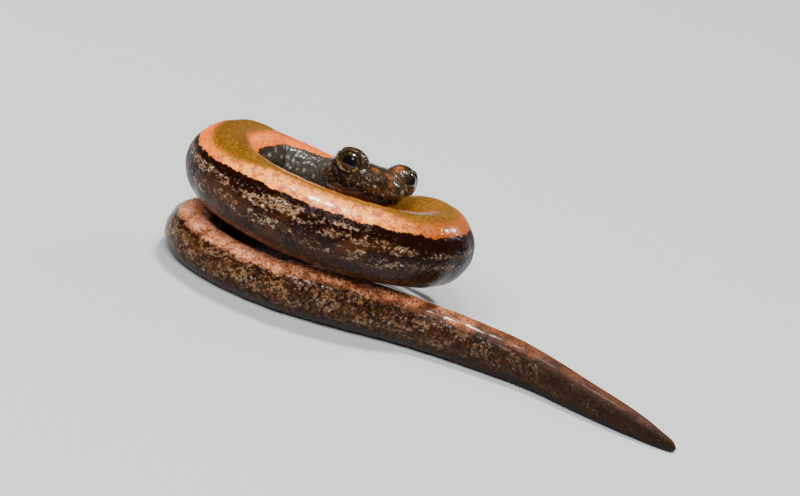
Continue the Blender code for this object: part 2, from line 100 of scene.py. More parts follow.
# Girth: distance from the snout, half width, half height. The taper is measured from the tail's tip.
GIRTH = ((4.2, 2.04, 1.28), (5.6, 1.66, 1.34), (7.2, 1.54, 1.42), (9.4, 1.72, 1.62),
         (12.5, 2.02, 1.98), (17.0, 2.16, 2.17), (30.0, 2.18, 2.19), (34.5, 2.02, 2.02),
         (38.0, 1.80, 1.80), (43.5, 1.62, 1.64), (50.0, 1.46, 1.50), (57.0, 1.42, 1.46))
TAPER = ((0.0, 0.30), (1.0, 0.47), (2.2, 0.66), (3.6, 0.80), (6.0, 0.96), (8.4, 1.10),
         (11.0, 1.26), (15.0, 1.38), (20.0, 1.53), (24.5, 1.49))
TIP_ROUND = 0.35
TAIL_DEPTH = 1.04
SHOULDER = 10.4
HIP = 35.2
VENT = 37.2
COSTAL_FOLDS = 20
FOLD_DEPTH = 0.07
FOLD_ROUND = 0.6
FLANK_ROUND = 0.8
TAIL_FOLD = 1.45
TAIL_FOLD_SHARE = 0.75
TIP_FOLDS = (3.0, 12.0)
THROAT_FOLD = 6.6
THROAT_GROOVE = (-0.10, 0.25)
VENT_SWELL = (0.03, 0.9)
NECK_WRINKLE = 0.66
WRINKLE_DEPTH = 0.045
WRINKLE_STRETCH = ((4.2, 0.8), (9.5, 2.0))
WRINKLE_TURNS = (24.0, 16.0)

# Unevenness of the skin: fineness and shift of the broad waves, the small ones and the beads, and heights.
WAVES = ((0.9, 0.0), (2.6, 11.0), (4.2, 5.0))
BROAD_HEIGHT = 0.020
SMALL_HEIGHT = 0.010
BEAD_HEIGHT = 0.16
BEAD_STRETCH = ((1.4, 1.0), (9.5, 3.0))
BEAD_TURNS = (22.0, 14.0)

# The head leans on the inner slope of the coil. Its sections: distance back, half width, above, below.
EYE_MIDDLE = np.array((1.98, 3.90, 7.94))
HEAD_YAW = 27.0
HEAD_PITCH = 17.0
HEAD_ROLL = 10.0
ROLL_ENDS = (3.0, 6.0)
EYE_BACK = 1.75
EYE_UP = 0.74
EYE_SIDE = 1.66
EYE_OUT = 36.0
EYE_LIFT = 8.0
HEAD_SECTIONS = ((0.0, 0.0, 0.0, 0.0), (0.12, 0.90, 0.40, 0.46), (0.35, 1.28, 0.62, 0.66),
                 (0.7, 1.60, 0.84, 0.82), (1.2, 1.90, 1.06, 0.95), (1.8, 2.10, 1.20, 1.06),
                 (2.6, 2.26, 1.24, 1.16), (3.3, 2.28, 1.25, 1.24), (4.2, 2.04, 1.28, 1.28),
                 (4.8, 1.86, 1.30, 1.28))
BOXINESS = 0.86
NECK_BLEND = (3.3, 4.25)
MOUTH_LOW = 0.27
MOUTH_FALL = 0.58
MOUTH_BEND = 0.8
MOUTH_RISE = 0.14
MOUTH_RISES = (2.2, 1.1)
MOUTH_BACK = 3.3
MOUTH_FADE = 0.5
LIP_OUT = 0.13
NOSTRIL_BACK = 0.26
NOSTRIL_TURN = 62.0
NOSTRIL_SIZE = 0.12

# Relief of the head: how far a feature stands out of the skin, or sinks into it below 0, and its width.
# A stretch is a rise and a fall, each with its start and its reach.
UPPER_LIP = (0.03, 0.09)
LOWER_LIP = (0.015, 0.09)
MOUTH_GROOVE = (-0.075, 0.035)
BROW_HOLLOW = (-0.05, 0.40)
BROW_STRETCH = ((0.5, 0.6), (2.4, 1.0))
NOSTRIL_EDGE = (0.03, 0.07)
NOSTRIL_PIT = (-0.10, 0.07)
LIP_GROOVE = (-0.03, 0.035)
SNOUT_SWELL = (0.05, 0.24)
SIDE_GROOVE = (-0.05, 0.09)
JAW_GROOVE = (-0.04, 0.09)

# Places on the side of the head: back, aside and up of the tip of the snout.
CHEEK = (3.05, 2.0, -0.15)
CHEEK_HEIGHT = 0.07
CHEEK_REACH = (0.55, 0.7, 0.6)
LIP_BELOW_NOSTRIL = (0.42, 1.12, -0.46)
BEHIND_EYE = (2.62, 2.24, 0.38)
NAPE = (4.3, 1.78, 0.30)
JAW_TOP = (3.5, 2.2, 0.2)
JAW_CORNER = (3.55, 2.0, -0.75)

# Eyes. The bulge's sizes run along its axis, across it and up. A lid's rim is bent out of a plain ring,
# which is RING_THICK thick for a radius of 1.
BULGE = np.array((1.04, 1.04, 0.96))
BULGE_SUNK = 0.06
BULGE_ROOT = 0.90
BULGE_BLEND = 0.16
EYEBALL = 0.87
PIT = 0.78
PIT_EDGE = 1.06
PIT_SLOPE = 0.12
CORNEA = 0.03
CORNEA_REACH = 0.62
OPEN_ACROSS = 0.75
OPEN_UP = 0.66
OPEN_DOWN = 0.64
RIM_OUT = 0.955
RIM_THICK = 0.062
RING_THICK = 0.2

# Limbs, for a hind leg's size: distance back, turn from the root's own, lift, lift by size, and radius.
GAP = 0.28
WRIST = 2.2
LEG = ((0.0, 1.0, -0.45, 0.0, 0.60), (0.0, 0.0, 0.10, 0.0, 0.52), (0.28, -3.0, 0.0, 0.56, 0.45),
       (0.72, -6.0, GAP, 0.56, 0.41), (1.35, -8.0, GAP, 0.50, 0.37), (WRIST, 0.0, GAP, 0.38, 0.28))

# The palm, past the wrist: distance back, distance by size, lift over the gap, lift by size, and radius.
PALM = ((-0.25, 0.0, 0.0, 0.38, 0.27), (0.0, 0.35, 0.24, 0.0, 0.30), (0.0, 0.72, 0.16, 0.0, 0.24))

# Each toe's spread in degrees and its reach. Along a toe: distance past the wrist by size, and by reach,
# share of the spread, lift over the gap, and radius.
TOES = ((-19.0, 0.62), (-6.5, 0.92), (7.0, 1.0), (20.0, 0.70))
TOE = ((0.35, 0.0, 0.35, 0.24, 0.20), (0.75, 0.35, 0.78, 0.18, 0.17), (0.85, 0.85, 1.12, 0.14, 0.185))

# Legs: the place of the root, its turn, and the size.
LEGS = ((SHOULDER, 114.0, 0.92), (HIP, 112.0, 1.0))

# How finely the legs are made, and how far their place in the pattern is moved from the skin's own.
LIMB_VOXEL = 0.054
LIMB_LIE = 40.0

# Fineness of the skin: spacing of its rings, and columns round the head and round the body. The head's
# columns are closest at the middles of the eyes and at the mouth.
HEAD_END = 5.4
HEAD_COLUMNS = 192
BODY_COLUMNS = 96
SNOUT_STEP = 0.002
EYE_STEP = 0.036
BODY_STEP = 0.185
WIDER_STEPS = (2.7, 0.8)
EYE_STRETCH = ((0.1, 0.5), (2.9, 1.2))
MOUTH_STRETCH = ((0.0, 0.3), (3.0, 1.2))
EYE_TURN = 54.0

# The map of the skin: how many strips it has, and the height of each.
STRIPS = 3
STRIP_HEIGHT = 0.29

# Lights: azimuth from the front, height angle, distance and width in metres, and power.
LIGHTS = (("key_light", 180.0, 83.0, 0.5, 0.06, 3.2),
          ("soft_light", -20.0, 46.0, 0.5, 0.30, 4.1),
          ("front_light", 4.0, 60.0, 0.5, 0.022, 0.50),
          ("back_light", 142.0, 33.0, 0.6, 0.045, 0.9))
LIT_POINT = (0.0, 0.0, 0.004)
ROOM_LIGHT = 0.09
FLOOR_RADIUS = 3.0

# The camera: its height angle and lean, the point it looks at and its distance in millimetres, and the
# photo's width and scale in pixels.
CAMERA_PITCH = 20.0
CAMERA_LEAN = 18.0
CAMERA_TARGET = (4.6, 2.57, 4.51)
CAMERA_AWAY = 240.0
PICTURE_WIDTH = 800
PIXELS_PER_MM = 17.5
SENSOR_WIDTH = 36.0


def ease(value):
    """Go smoothly from 0 to 1."""
    value = np.clip(value, 0.0, 1.0)
    return value * value * (3.0 - 2.0 * value)


def over(value, change):
    """Go smoothly from 0 to 1, from a change's start on and over its reach."""
    start, reach = change
    return ease((value - start) / reach)


def amid(value, rise, fall):
    """0 before a rise, 1 between it and a fall, and 0 after the fall."""
    return over(value, rise) * (1.0 - over(value, fall))


def hump(distance, width):
    """A round hump, 1 at its middle."""
    return np.exp(-(distance / width) ** 2)


def raised(distance, size):
    """A round ridge or groove, at a distance from its middle."""
    height, width = size
    return height * hump(distance, width)


def read(table, at, column):
    """Read a column of a table of sizes at any place, on a smooth curve through its rows."""
    table = np.asarray(table, float)
    at = np.asarray(at, float)
    places = table[:, 0]
    sizes = table[:, column]
    wide_places = np.pad(places, 1, mode="edge")
    wide_sizes = np.pad(sizes, 1, mode="edge")
    slopes = (wide_sizes[2:] - wide_sizes[:-2]) / (wide_places[2:] - wide_places[:-2])
    low = np.clip(np.searchsorted(places, at, side="right") - 1, 0, len(places) - 2)
    span = places[low + 1] - places[low]
    share = np.clip((at - places[low]) / span, 0.0, 1.0)
    rise = ease(share)
    return (sizes[low] + (sizes[low + 1] - sizes[low]) * rise
            + slopes[low] * span * share * (1.0 - share) ** 2
            - slopes[low + 1] * span * share ** 2 * (1.0 - share))


def length(vectors):
    return np.linalg.norm(vectors, axis=-1)


def unit(vectors):
    """Vectors of length 1 that point the same way."""
    return vectors / length(vectors)[..., None]


def walked(line):
    """Distance along a line to each of its points."""
    return np.concatenate(([0.0], np.cumsum(length(np.diff(line, axis=0)))))


def coil_point(turn):
    """Middle of the body at a turn angle, by quarters of ellipses that sink to the floor."""
    across = cos(radians(turn))
    away = sin(radians(turn))
    if across > 0.0:
        reach_x = UPPER_RIGHT
    else:
        reach_x = UPPER_LEFT if turn < 360 else LOWER_LEFT
    if away > 0.0:
        reach_y = UPPER_BACK_LEFT if turn < 180 else FAR_BACK
    else:
        reach_y = UPPER_FRONT if turn < 400 else LOWER_FRONT
    sunk = float(over(turn, DROP))
    height = (UPPER_HEIGHT - UPPER_FALL * (turn - 180)) * (1.0 - sunk) + LOWER_HEIGHT * sunk
    tucked = TUCK * exp(-((turn - TUCK_TURN) / TUCK_REACH) ** 2)
    return np.array((reach_x * across, COIL_Y + reach_y * away - tucked, height))


def head_axes():
    """Forward, left and up of the head."""
    yaw, pitch, roll = (radians(angle) for angle in (HEAD_YAW, HEAD_PITCH, HEAD_ROLL))
    level = cos(pitch)
    forward = np.array((sin(yaw) * level, -cos(yaw) * level, sin(pitch)))
    level_left = unit(np.cross(UP, forward))
    level_up = np.cross(forward, level_left)
    left = level_left * cos(roll) - level_up * sin(roll)
    up = level_up * cos(roll) + level_left * sin(roll)
    return forward, left, up


FORWARD, LEFT, HEAD_UP = head_axes()
SNOUT = EYE_MIDDLE + FORWARD * EYE_BACK - HEAD_UP * EYE_UP


def head_place(back, side, height):
    """Points given in the head's own directions, from the tip of the snout."""
    back, side, height = (np.asarray(value, float)[..., None] for value in (back, side, height))
    return SNOUT - FORWARD * back + LEFT * side + HEAD_UP * height


def spline(points, steps=12):
    """A smooth line through points, whose bends follow their spacing."""
    points = np.asarray(points, float)
    spans = length(np.diff(points, axis=0))
    ways = np.diff(points, axis=0) / spans[:, None]
    bends = np.vstack((ways[:1], ways))
    before, after = spans[:-1, None], spans[1:, None]
    bends[1:-1] = (ways[:-1] * after + ways[1:] * before) / (before + after)
    bends = np.vstack((bends, ways[-1:]))[:len(points)]
    bends[-1] = ways[-1]
    t = (np.arange(steps) / steps)[:, None]
    line = []
    for start, end, leave, arrive, span in zip(points, points[1:], bends, bends[1:], spans):
        line.append(start * (2 * t ** 3 - 3 * t ** 2 + 1) + end * (3 * t ** 2 - 2 * t ** 3)
                    + leave * span * (t ** 3 - 2 * t ** 2 + t) + arrive * span * (t ** 3 - t ** 2))
    line.append(points[-1:])
    return np.vstack(line)


def centre_line():
    """The centre line, from the snout to the tip of the tail."""
    points = [head_place(back, 0.0, 0.0) for back in HEAD_LINE]
    points += [np.array(point) for point in NECK_POINTS]
    points += [coil_point(turn) for turn in COIL_TURNS]
    points += [np.array((x, y, TAIL_HEIGHT)) for x, y in TAIL_POINTS]
    return spline(points)


LINE = centre_line()
LENGTHS = walked(LINE)
TOTAL = LENGTHS[-1]


def line_point(at):
    """Points of the centre line at distances from the snout, carried straight on past its ends."""
    at = np.asarray(at, float)
    found = np.stack([np.interp(at, LENGTHS, LINE[:, axis]) for axis in range(3)], axis=-1)
    found += unit(LINE[0] - LINE[1]) * np.maximum(-at, 0.0)[..., None]
    found += unit(LINE[-1] - LINE[-2]) * np.maximum(at - TOTAL, 0.0)[..., None]
    return found


def girth(at):
    """Half width and half height of the body."""
    from_tip = TOTAL - at
    near_tip = from_tip < TAPER[-1][0]
    size = read(TAPER, from_tip, 1)
    wide = np.where(near_tip, size, read(GIRTH, at, 1))
    high = np.where(near_tip, size * TAIL_DEPTH, read(GIRTH, at, 2))
    return wide, high


def place(at):
    """Centre, left and up of the body. It settles on the floor behind the coil's drop."""
    at = np.asarray(at, float)
    centre = line_point(at)
    along = unit(line_point(at + LOOK_AHEAD) - line_point(at - LOOK_AHEAD))
    settled = over(at, TO_FLOOR)
    rest = girth(at)[1] * BELLY - FLAT
    centre[..., 2] = centre[..., 2] * (1.0 - settled) + rest * settled
    along[..., 2] *= 1.0 - settled
    along = unit(along)
    left = unit(np.cross(along, UP))
    up = np.cross(left, along)
    rolled = (radians(HEAD_ROLL) * (1.0 - over(at, ROLL_ENDS)))[..., None]
    return (centre, left * np.cos(rolled) - up * np.sin(rolled),
            up * np.cos(rolled) + left * np.sin(rolled))


def fold(at):
    """Swelling of the flank's folds, 0 in a groove and 1 on a fold, and how deep the grooves are there."""
    pitch = (HIP - SHOULDER) / COSTAL_FOLDS
    on_trunk = (at >= SHOULDER) & (at <= HIP)
    on_tail = at > VENT
    phase = np.where(on_trunk, (at - SHOULDER) / pitch, (at - VENT) / TAIL_FOLD)
    strength = on_trunk + on_tail * TAIL_FOLD_SHARE * over(TOTAL - at, TIP_FOLDS)
    return np.abs(np.sin(pi * phase)) ** FOLD_ROUND, strength


def skin_point(at, turn, lift=0.0):
    """Points of the skin. The turn runs from the back, 0, over the left flank to the belly, 180."""
    at, turn = np.broadcast_arrays(np.asarray(at, float), np.radians(np.asarray(turn, float)))
    centre, left, up = place(at)
    wide, high = girth(at)
    swell, strength = fold(at)
    on_flank = np.abs(np.sin(turn)) ** FLANK_ROUND
    scale = 1.0 - FOLD_DEPTH * strength * (1.0 - swell) * on_flank / wide
    scale = scale * np.where(at > VENT, 1.0 - 0.02 * np.cos(turn), 1.0)
    under = over(np.abs(np.degrees(turn)), TO_BELLY_SIDE)
    scale = scale + raised(at - THROAT_FOLD, THROAT_GROOVE) * under
    scale = scale + raised(at - VENT, VENT_SWELL) * under
    belly = np.where(np.cos(turn) < 0.0, BELLY, 1.0)
    sideways = (wide * scale + lift) * np.sin(turn)
    upward = (high * scale * belly + lift) * np.cos(turn)
    point = centre + left * sideways[..., None] + up * upward[..., None]
    if np.ndim(lift) == 0 and lift == 0.0:
        point[..., 2] = np.maximum(point[..., 2], 0.0)
    return point


def head_size(back, column):
    """A size of the head's section. Distances enter by their square root, which rounds the snout."""
    rooted = [(sqrt(row[0]),) + row[1:] for row in HEAD_SECTIONS]
    return read(rooted, np.sqrt(np.maximum(back, 0.0)), column)


def mouth_height(back):
    """Height of the line of the mouth, which arches over the tip of the snout and rises at its corner."""
    fall = MOUTH_FALL * (1.0 - np.exp(-np.maximum(back, 0.0) / MOUTH_BEND))
    return -MOUTH_LOW - fall + MOUTH_RISE * over(back, MOUTH_RISES)


def mouth_turn(back):
    """Turn at which the head's section meets the line of the mouth."""
    share = np.minimum(-mouth_height(back) / np.maximum(head_size(back, 3), 0.05), 0.97)
    return 180.0 - np.degrees(np.arccos(share ** (1.0 / BOXINESS)))


def head_section(back, turn):
    """Side and height of the head's skin at a turn, before eyes, lips and nostrils."""
    turn = np.radians(turn)
    rise = np.cos(turn)
    side = np.sign(np.sin(turn)) * np.abs(np.sin(turn)) ** BOXINESS * head_size(back, 1)
    reach = np.where(rise > 0.0, head_size(back, 2), head_size(back, 3))
    return side, np.sign(rise) * np.abs(rise) ** BOXINESS * reach


def eye_frame(hand):
    """Middle of an eyeball, left with hand 1 and right with hand -1, and its axis, across and top ways."""
    out = radians(90.0 - EYE_OUT)
    lift = radians(EYE_LIFT)
    flat = FORWARD * sin(out) + LEFT * hand * cos(out)
    axis = unit(flat * cos(lift) + HEAD_UP * sin(lift))
    across = unit(np.cross(HEAD_UP, axis))
    return head_place(EYE_BACK, EYE_SIDE * hand, EYE_UP), axis, across, np.cross(axis, across)


def in_frame(points, centre, *ways):
    """Points given by their lengths along some ways from a centre."""
    return np.stack([(points - centre) @ way for way in ways], axis=-1)


def marks(start, end, gap):
    """Distances from start to end, whose spacing at each one a function gives."""
    found = [start]
    while found[-1] + gap(found[-1]) < end - 0.5 * gap(end):
        found.append(found[-1] + gap(found[-1]))
    return np.array(found + [end])


def head_gap(back):
    """Spacing of the head's rings, close at the snout, where the skin turns quickly, and at the eyes."""
    return min(SNOUT_STEP + 0.36 * sqrt(back) ** 1.2, EYE_STEP + 0.03 * float(over(back, WIDER_STEPS)))


def head_turns(back):
    """Turns of a head ring's columns, close together at the eye and at the mouth."""
    fine = np.linspace(0.0, 180.0, 721)
    at_eye = float(amid(back, *EYE_STRETCH))
    at_mouth = float(amid(back, *MOUTH_STRETCH))
    density = 1.0 + 1.6 * at_eye * hump(fine - EYE_TURN, 26.0)
    density += 2.6 * at_mouth * hump(fine - float(mouth_turn(back)), 7.0)
    total = np.concatenate(([0.0], np.cumsum((density[1:] + density[:-1]) / 2)))
    half = np.interp(np.linspace(0.0, total[-1], HEAD_COLUMNS // 2 + 1), total, fine)
    return np.concatenate((-half[::-1], half[1:]))


def bulging(points, sides):
    """The head's skin pushed out round the eyes, and drawn in behind the eyeballs."""
    for hand in (1, -1):
        centre, axis, across, top = eye_frame(hand)
        chosen = sides * hand > 0.0
        spots = points[chosen]
        root = centre - axis * BULGE_ROOT
        lump = centre - axis * BULGE_SUNK
        reach = length(spots - root)
        ways = (spots - root) / reach[:, None]
        start = in_frame(root[None], lump, axis, across, top) / BULGE
        step = np.stack([ways @ axis, ways @ across, ways @ top], axis=1) / BULGE
        half = (start * step).sum(1)
        square = (step * step).sum(1)
        far = (np.sqrt(half ** 2 + square * (1.0 - (start * start).sum())) - half) / square
        joined = np.maximum(BULGE_BLEND - np.abs(reach - far), 0.0) / BULGE_BLEND
        spots = root + ways * (np.maximum(reach, far) + joined ** 2 * BULGE_BLEND / 4)[:, None]
        seen = in_frame(spots, centre, axis, across, top)
        tall = np.where(seen[:, 2] > 0.0, OPEN_UP, OPEN_DOWN)
        inside = np.hypot(seen[:, 1] / OPEN_ACROSS, seen[:, 2] / tall)
        sunk = ease((PIT_EDGE - inside) / PIT_SLOPE) * (seen[:, 0] > 0.0)
        away = length(spots - centre)
        shrunk = (away + (PIT - away) * sunk) / away
        points[chosen] = centre + (spots - centre) * shrunk[:, None]
    return points


def to_segment(points, start, end):
    """Distance of points from a straight stretch."""
    way = end - start
    share = np.clip(((points - start) @ way) / (way @ way), 0.0, 1.0)
    return length(points - start - share[..., None] * way)


def nostril_place(hand):
    """A nostril, on the skin of the front corner of the snout."""
    side, height = head_section(NOSTRIL_BACK, NOSTRIL_TURN)
    return head_place(NOSTRIL_BACK, side * hand, height)


def on_side(spot, hand):
    """A place on the side of the head, on the left with hand 1 and on the right with hand -1."""
    back, aside, height = spot
    return head_place(back, aside * hand, height)


def head_relief(points):
    """How far features of the head's skin stand out of it or sink into it, and where the lips' edge is."""
    back, side, height = in_frame(points, SNOUT, -FORWARD, LEFT, HEAD_UP).T
    above = height - mouth_height(back)
    mouth = 1.0 - ease((back - MOUTH_BACK + MOUTH_FADE) / MOUTH_FADE)
    lips = raised(above - LIP_OUT, UPPER_LIP) + raised(above + LIP_OUT, LOWER_LIP)
    out = mouth * (lips + raised(above, MOUTH_GROOVE))
    between_eyes = amid(back, *BROW_STRETCH) * (height > 0.0)
    out += raised(side, BROW_HOLLOW) * between_eyes
    cheek = CHEEK_HEIGHT
    for values, middle, reach in zip((back, np.abs(side), height), CHEEK, CHEEK_REACH):
        cheek = cheek * hump(values - middle, reach)
    out += cheek
    for hand in (1, -1):
        nostril = nostril_place(hand)
        lip = on_side(LIP_BELOW_NOSTRIL, hand)
        away = length(points - nostril)
        out += raised(away - NOSTRIL_SIZE, NOSTRIL_EDGE) + raised(away, NOSTRIL_PIT)
        out += raised(to_segment(points, nostril, lip), LIP_GROOVE)
        out += raised(length(points - (nostril + lip) / 2), SNOUT_SWELL)
        for start, end, size in ((BEHIND_EYE, NAPE, SIDE_GROOVE), (JAW_TOP, JAW_CORNER, JAW_GROOVE)):
            out += raised(to_segment(points, on_side(start, hand), on_side(end, hand)), size)
    return out, mouth * hump(above - 0.055, 0.03) * ease(back / 0.05)


def unevenness(points, at, turn):
    """Gentle, seeded waves in the skin, and rows of small bumps on the sides of head and neck."""
    broad, small, beads = (np.array([noise.noise(Vector(point * fineness + shift)) for point in points])
                           for fineness, shift in WAVES)
    slim = np.clip((TOTAL - at) / 12.0, 0.25, 1.0)
    on_neck = amid(at, *BEAD_STRETCH) * over(turn, BEAD_TURNS)
    beads = BEAD_HEIGHT * np.maximum(beads - 0.02, 0.0) * on_neck
    return (BROAD_HEIGHT * broad + SMALL_HEIGHT * small) * slim + beads


def wrinkles(at, turn):
    """Folds across the neck and behind the jaws."""
    steep = 0.32 * np.cos(np.radians(turn))
    waves = np.sin((at + steep) * 2.0 * pi / NECK_WRINKLE)
    reach = amid(at, *WRINKLE_STRETCH) * over(turn, WRINKLE_TURNS)
    return -WRINKLE_DEPTH * np.clip(waves, 0.0, 1.0) ** 2 * reach


def skin_grid(ats, turns, head):
    """Points of the skin in rings, and the place of each in the skin's pattern."""
    at = np.broadcast_to(ats[:, None], turns.shape)
    points = skin_point(at, turns)
    size = girth(at)[0]
    lie = np.stack((at, size * np.sin(np.radians(turns)), size * np.cos(np.radians(turns))), -1)
    if head:
        side, height = head_section(at, turns)
        own = head_place(at, side, height)
        share = ease((at - NECK_BLEND[0]) / (NECK_BLEND[1] - NECK_BLEND[0]))[..., None]
        points = own * (1.0 - share) + points * share
        points = bulging(points.reshape(-1, 3), turns.reshape(-1)).reshape(points.shape)
        own = in_frame(points, SNOUT, -FORWARD, LEFT, HEAD_UP)
        lie = own * (1.0 - share) + lie * share
    points[:, -1] = points[:, 0]
    return points, lie


def relieve(skin):
    """Raise and sink the finer features of the skin along its own outward ways."""
    mesh = skin.data
    points = read_points(mesh)
    ways = read_numbers(mesh.vertex_normals, "vector", 3)
    at = stored(mesh, "lie")[:, 0]
    turn = stored(mesh, "turn")
    out = unevenness(points, at, turn) * ease(at / 0.4) + wrinkles(at, turn)
    on_head = at < HEAD_END
    lip = np.zeros(len(at))
    relief, lip[on_head] = head_relief(points[on_head])
    out[on_head] += relief
    points += ways * out[:, None]
    points[:, 2] = np.maximum(points[:, 2], 0.0)
    mesh.vertices.foreach_set("co", points.ravel())
    store(mesh, "lip", lip)


def choose(*pieces):
    """Select only these objects, and make the first the active one."""
    for other in list(bpy.context.selected_objects):
        other.select_set(False)
    for piece in pieces:
        piece.select_set(True)
    bpy.context.view_layer.objects.active = pieces[0]


def edit(piece, *steps):
    """Run editing steps on a whole mesh."""
    choose(piece)
    bpy.ops.object.mode_set(mode="EDIT")
    bpy.ops.mesh.select_all(action="SELECT")
    for step in steps:
        step()
    bpy.ops.object.mode_set(mode="OBJECT")


def join(*pieces):
    """Make one object of several."""
    choose(*pieces)
    bpy.ops.object.join()
    return bpy.context.object


def modify(piece, kind, **settings):
    """Apply a modifier to a piece."""
    choose(piece)
    change = piece.modifiers.new("change", kind)
    for name, value in settings.items():
        setattr(change, name, value)
    bpy.ops.object.modifier_apply(modifier=change.name)


def weld():
    bpy.ops.mesh.remove_doubles(threshold=0.0001)


def face_out():
    bpy.ops.mesh.normals_make_consistent(inside=False)


def bridge():
    """Close the gap between a mesh's two open ends."""
    bpy.ops.mesh.select_mode(type="EDGE")
    bpy.ops.mesh.select_all(action="DESELECT")
    bpy.ops.mesh.select_non_manifold(extend=False, use_wire=False, use_boundary=True, use_multi_face=False,
                                     use_non_contiguous=False, use_verts=False)
    bpy.ops.mesh.bridge_edge_loops()
    bpy.ops.mesh.select_mode(type="VERT")
    bpy.ops.mesh.select_all(action="SELECT")


def store(mesh, name, values):
    """Keep numbers or vectors on a mesh's points."""
    kind, field = ("FLOAT_VECTOR", "vector") if values.ndim == 2 else ("FLOAT", "value")
    layer = mesh.attributes.get(name) or mesh.attributes.new(name, kind, "POINT")
    layer.data.foreach_set(field, values.astype(np.float32).ravel())


def read_numbers(items, field, width):
    """A field of a mesh's points, faces or corners as rows of numbers."""
    kind = np.int32 if field in ("vertex_index", "loop_total") else np.float32
    flat = np.zeros(len(items) * width, kind)
    items.foreach_get(field, flat)
    return flat.reshape(-1, width) if kind is np.int32 else flat.reshape(-1, width).astype(float)


def read_points(mesh):
    return read_numbers(mesh.vertices, "co", 3)


def stored(mesh, name):
    """Numbers or vectors kept on a mesh's points."""
    layer = mesh.attributes[name]
    if layer.data_type == "FLOAT_VECTOR":
        return read_numbers(layer.data, "vector", 3)
    return read_numbers(layer.data, "value", 1)[:, 0]


def strip_map(mesh):
    """A map of the skin: three strips, one above the other, each a third of the animal long."""
    at = stored(mesh, "lie")[:, 0]
    signed = stored(mesh, "signed")
    corners = read_numbers(mesh.loops, "vertex_index", 1)[:, 0]
    sizes = read_numbers(mesh.polygons, "loop_total", 1)[:, 0]
    face = np.repeat(np.arange(len(sizes)), sizes)
    strip = np.clip(np.floor(np.bincount(face, at[corners]) / sizes / TOTAL * STRIPS), 0, STRIPS - 1)[face]
    on_seam = np.abs(signed[corners]) > 179.9
    leaning = np.bincount(face, np.where(on_seam, 0.0, signed[corners]))[face]
    across = np.where(on_seam, 180.0 * np.sign(leaning), signed[corners]) / 360.0 + 0.5
    u = (at[corners] / TOTAL * STRIPS - strip) * 0.98 + 0.01
    v = (strip + 0.02 + 0.96 * across) * STRIP_HEIGHT
    layer = mesh.uv_layers.new(name="OFBake")
    layer.uv.foreach_set("vector", np.stack((u, v), 1).astype(np.float32).ravel())
    mesh.attributes.remove(mesh.attributes["signed"])


def wrapped(name, points, lie, turns):
    """A flat grid of faces, wrapped through rings of points."""
    rows, columns = turns.shape
    bpy.ops.mesh.primitive_grid_add(x_subdivisions=rows - 1, y_subdivisions=columns - 1, size=2.0)
    piece = bpy.context.object
    piece.name = name
    mesh = piece.data
    flat = read_points(mesh)
    row = np.rint((flat[:, 0] + 1.0) / 2.0 * (rows - 1)).astype(int)
    column = np.rint((flat[:, 1] + 1.0) / 2.0 * (columns - 1)).astype(int)
    mesh.vertices.foreach_set("co", points[row, column].ravel())
    for layer in list(mesh.uv_layers):
        mesh.uv_layers.remove(layer)
    store(mesh, "lie", lie[row, column])
    store(mesh, "turn", np.abs(turns[row, column]))
    store(mesh, "signed", turns[row, column])
    edit(piece, weld)
    return piece


def body_gap(at):
    """Spacing of the body's rings, closer at the head and at the tip of the tail."""
    return min(BODY_STEP, 0.09 + 0.02 * (at - HEAD_END), 0.015 + 0.3 * (TOTAL - at))


def body_skin():
    """The skin of head, body and tail, closed and in one piece."""
    ats = marks(0.0, HEAD_END, head_gap)
    turns = np.array([head_turns(back) for back in ats])
    points, lie = skin_grid(ats, turns, True)
    head = wrapped("skin", points, lie, turns)
    ats = marks(HEAD_END + 0.1, TOTAL, body_gap)
    turns = np.broadcast_to(np.linspace(-180.0, 180.0, BODY_COLUMNS + 1), (len(ats), BODY_COLUMNS + 1))
    points, lie = skin_grid(ats, turns, False)
    centre = place(ats)[0][:, None]
    drawn_in = np.sqrt(np.clip((TOTAL - ats) / TIP_ROUND, 0.0, 1.0))[:, None, None]
    points = centre + (points - centre) * drawn_in
    body = wrapped("body", points, lie, turns)
    skin = join(head, body)
    edit(skin, bridge, face_out)
    strip_map(skin.data)
    relieve(skin)
    return skin


def eye_rim(hand):
    """The rolled edge of the lids: a thin closed ring round an eye's opening."""
    centre, axis, across, top = eye_frame(hand)
    bpy.ops.mesh.primitive_torus_add(major_segments=112, minor_segments=12, major_radius=1.0,
                                     minor_radius=RING_THICK)
    rim = bpy.context.object
    mesh = rim.data
    flat = read_points(mesh)
    round_eye = np.arctan2(flat[:, 1], flat[:, 0])
    outward = (np.hypot(flat[:, 0], flat[:, 1]) - 1.0) / RING_THICK
    forward = flat[:, 2] / RING_THICK
    tall = np.where(np.sin(round_eye) > 0.0, OPEN_UP, OPEN_DOWN)
    x = OPEN_ACROSS * np.cos(round_eye)
    y = tall * np.sin(round_eye)
    middle = np.stack((np.sqrt(RIM_OUT ** 2 - x ** 2 - y ** 2), x, y), 1)
    away = unit(middle)
    aside = unit(np.stack((np.zeros(len(x)), x / OPEN_ACROSS ** 2, y / tall ** 2), 1))
    aside = unit(aside - away * (aside * away).sum(1)[:, None])
    thick = RIM_THICK * (1.0 + 0.30 * np.sin(round_eye) + 0.12 * np.sin(round_eye * 5.0 + hand))
    local = middle + (aside * outward[:, None] + away * forward[:, None]) * thick[:, None]
    spots = centre + local[:, :1] * axis + local[:, 1:2] * across + local[:, 2:] * top
    mesh.vertices.foreach_set("co", spots.ravel())
    edit(rim, face_out)
    return rim


def limb_point(root, hand, back, angle, lift):
    """A point beside the flank. The way back is measured beside the skin, short inside the coil's bend."""
    ats = root + np.arange(0.0, 9.0, 0.02)
    lengths = walked(skin_point(ats, angle * hand, lift))
    return skin_point(np.interp(back, lengths, ats), angle * hand, lift)


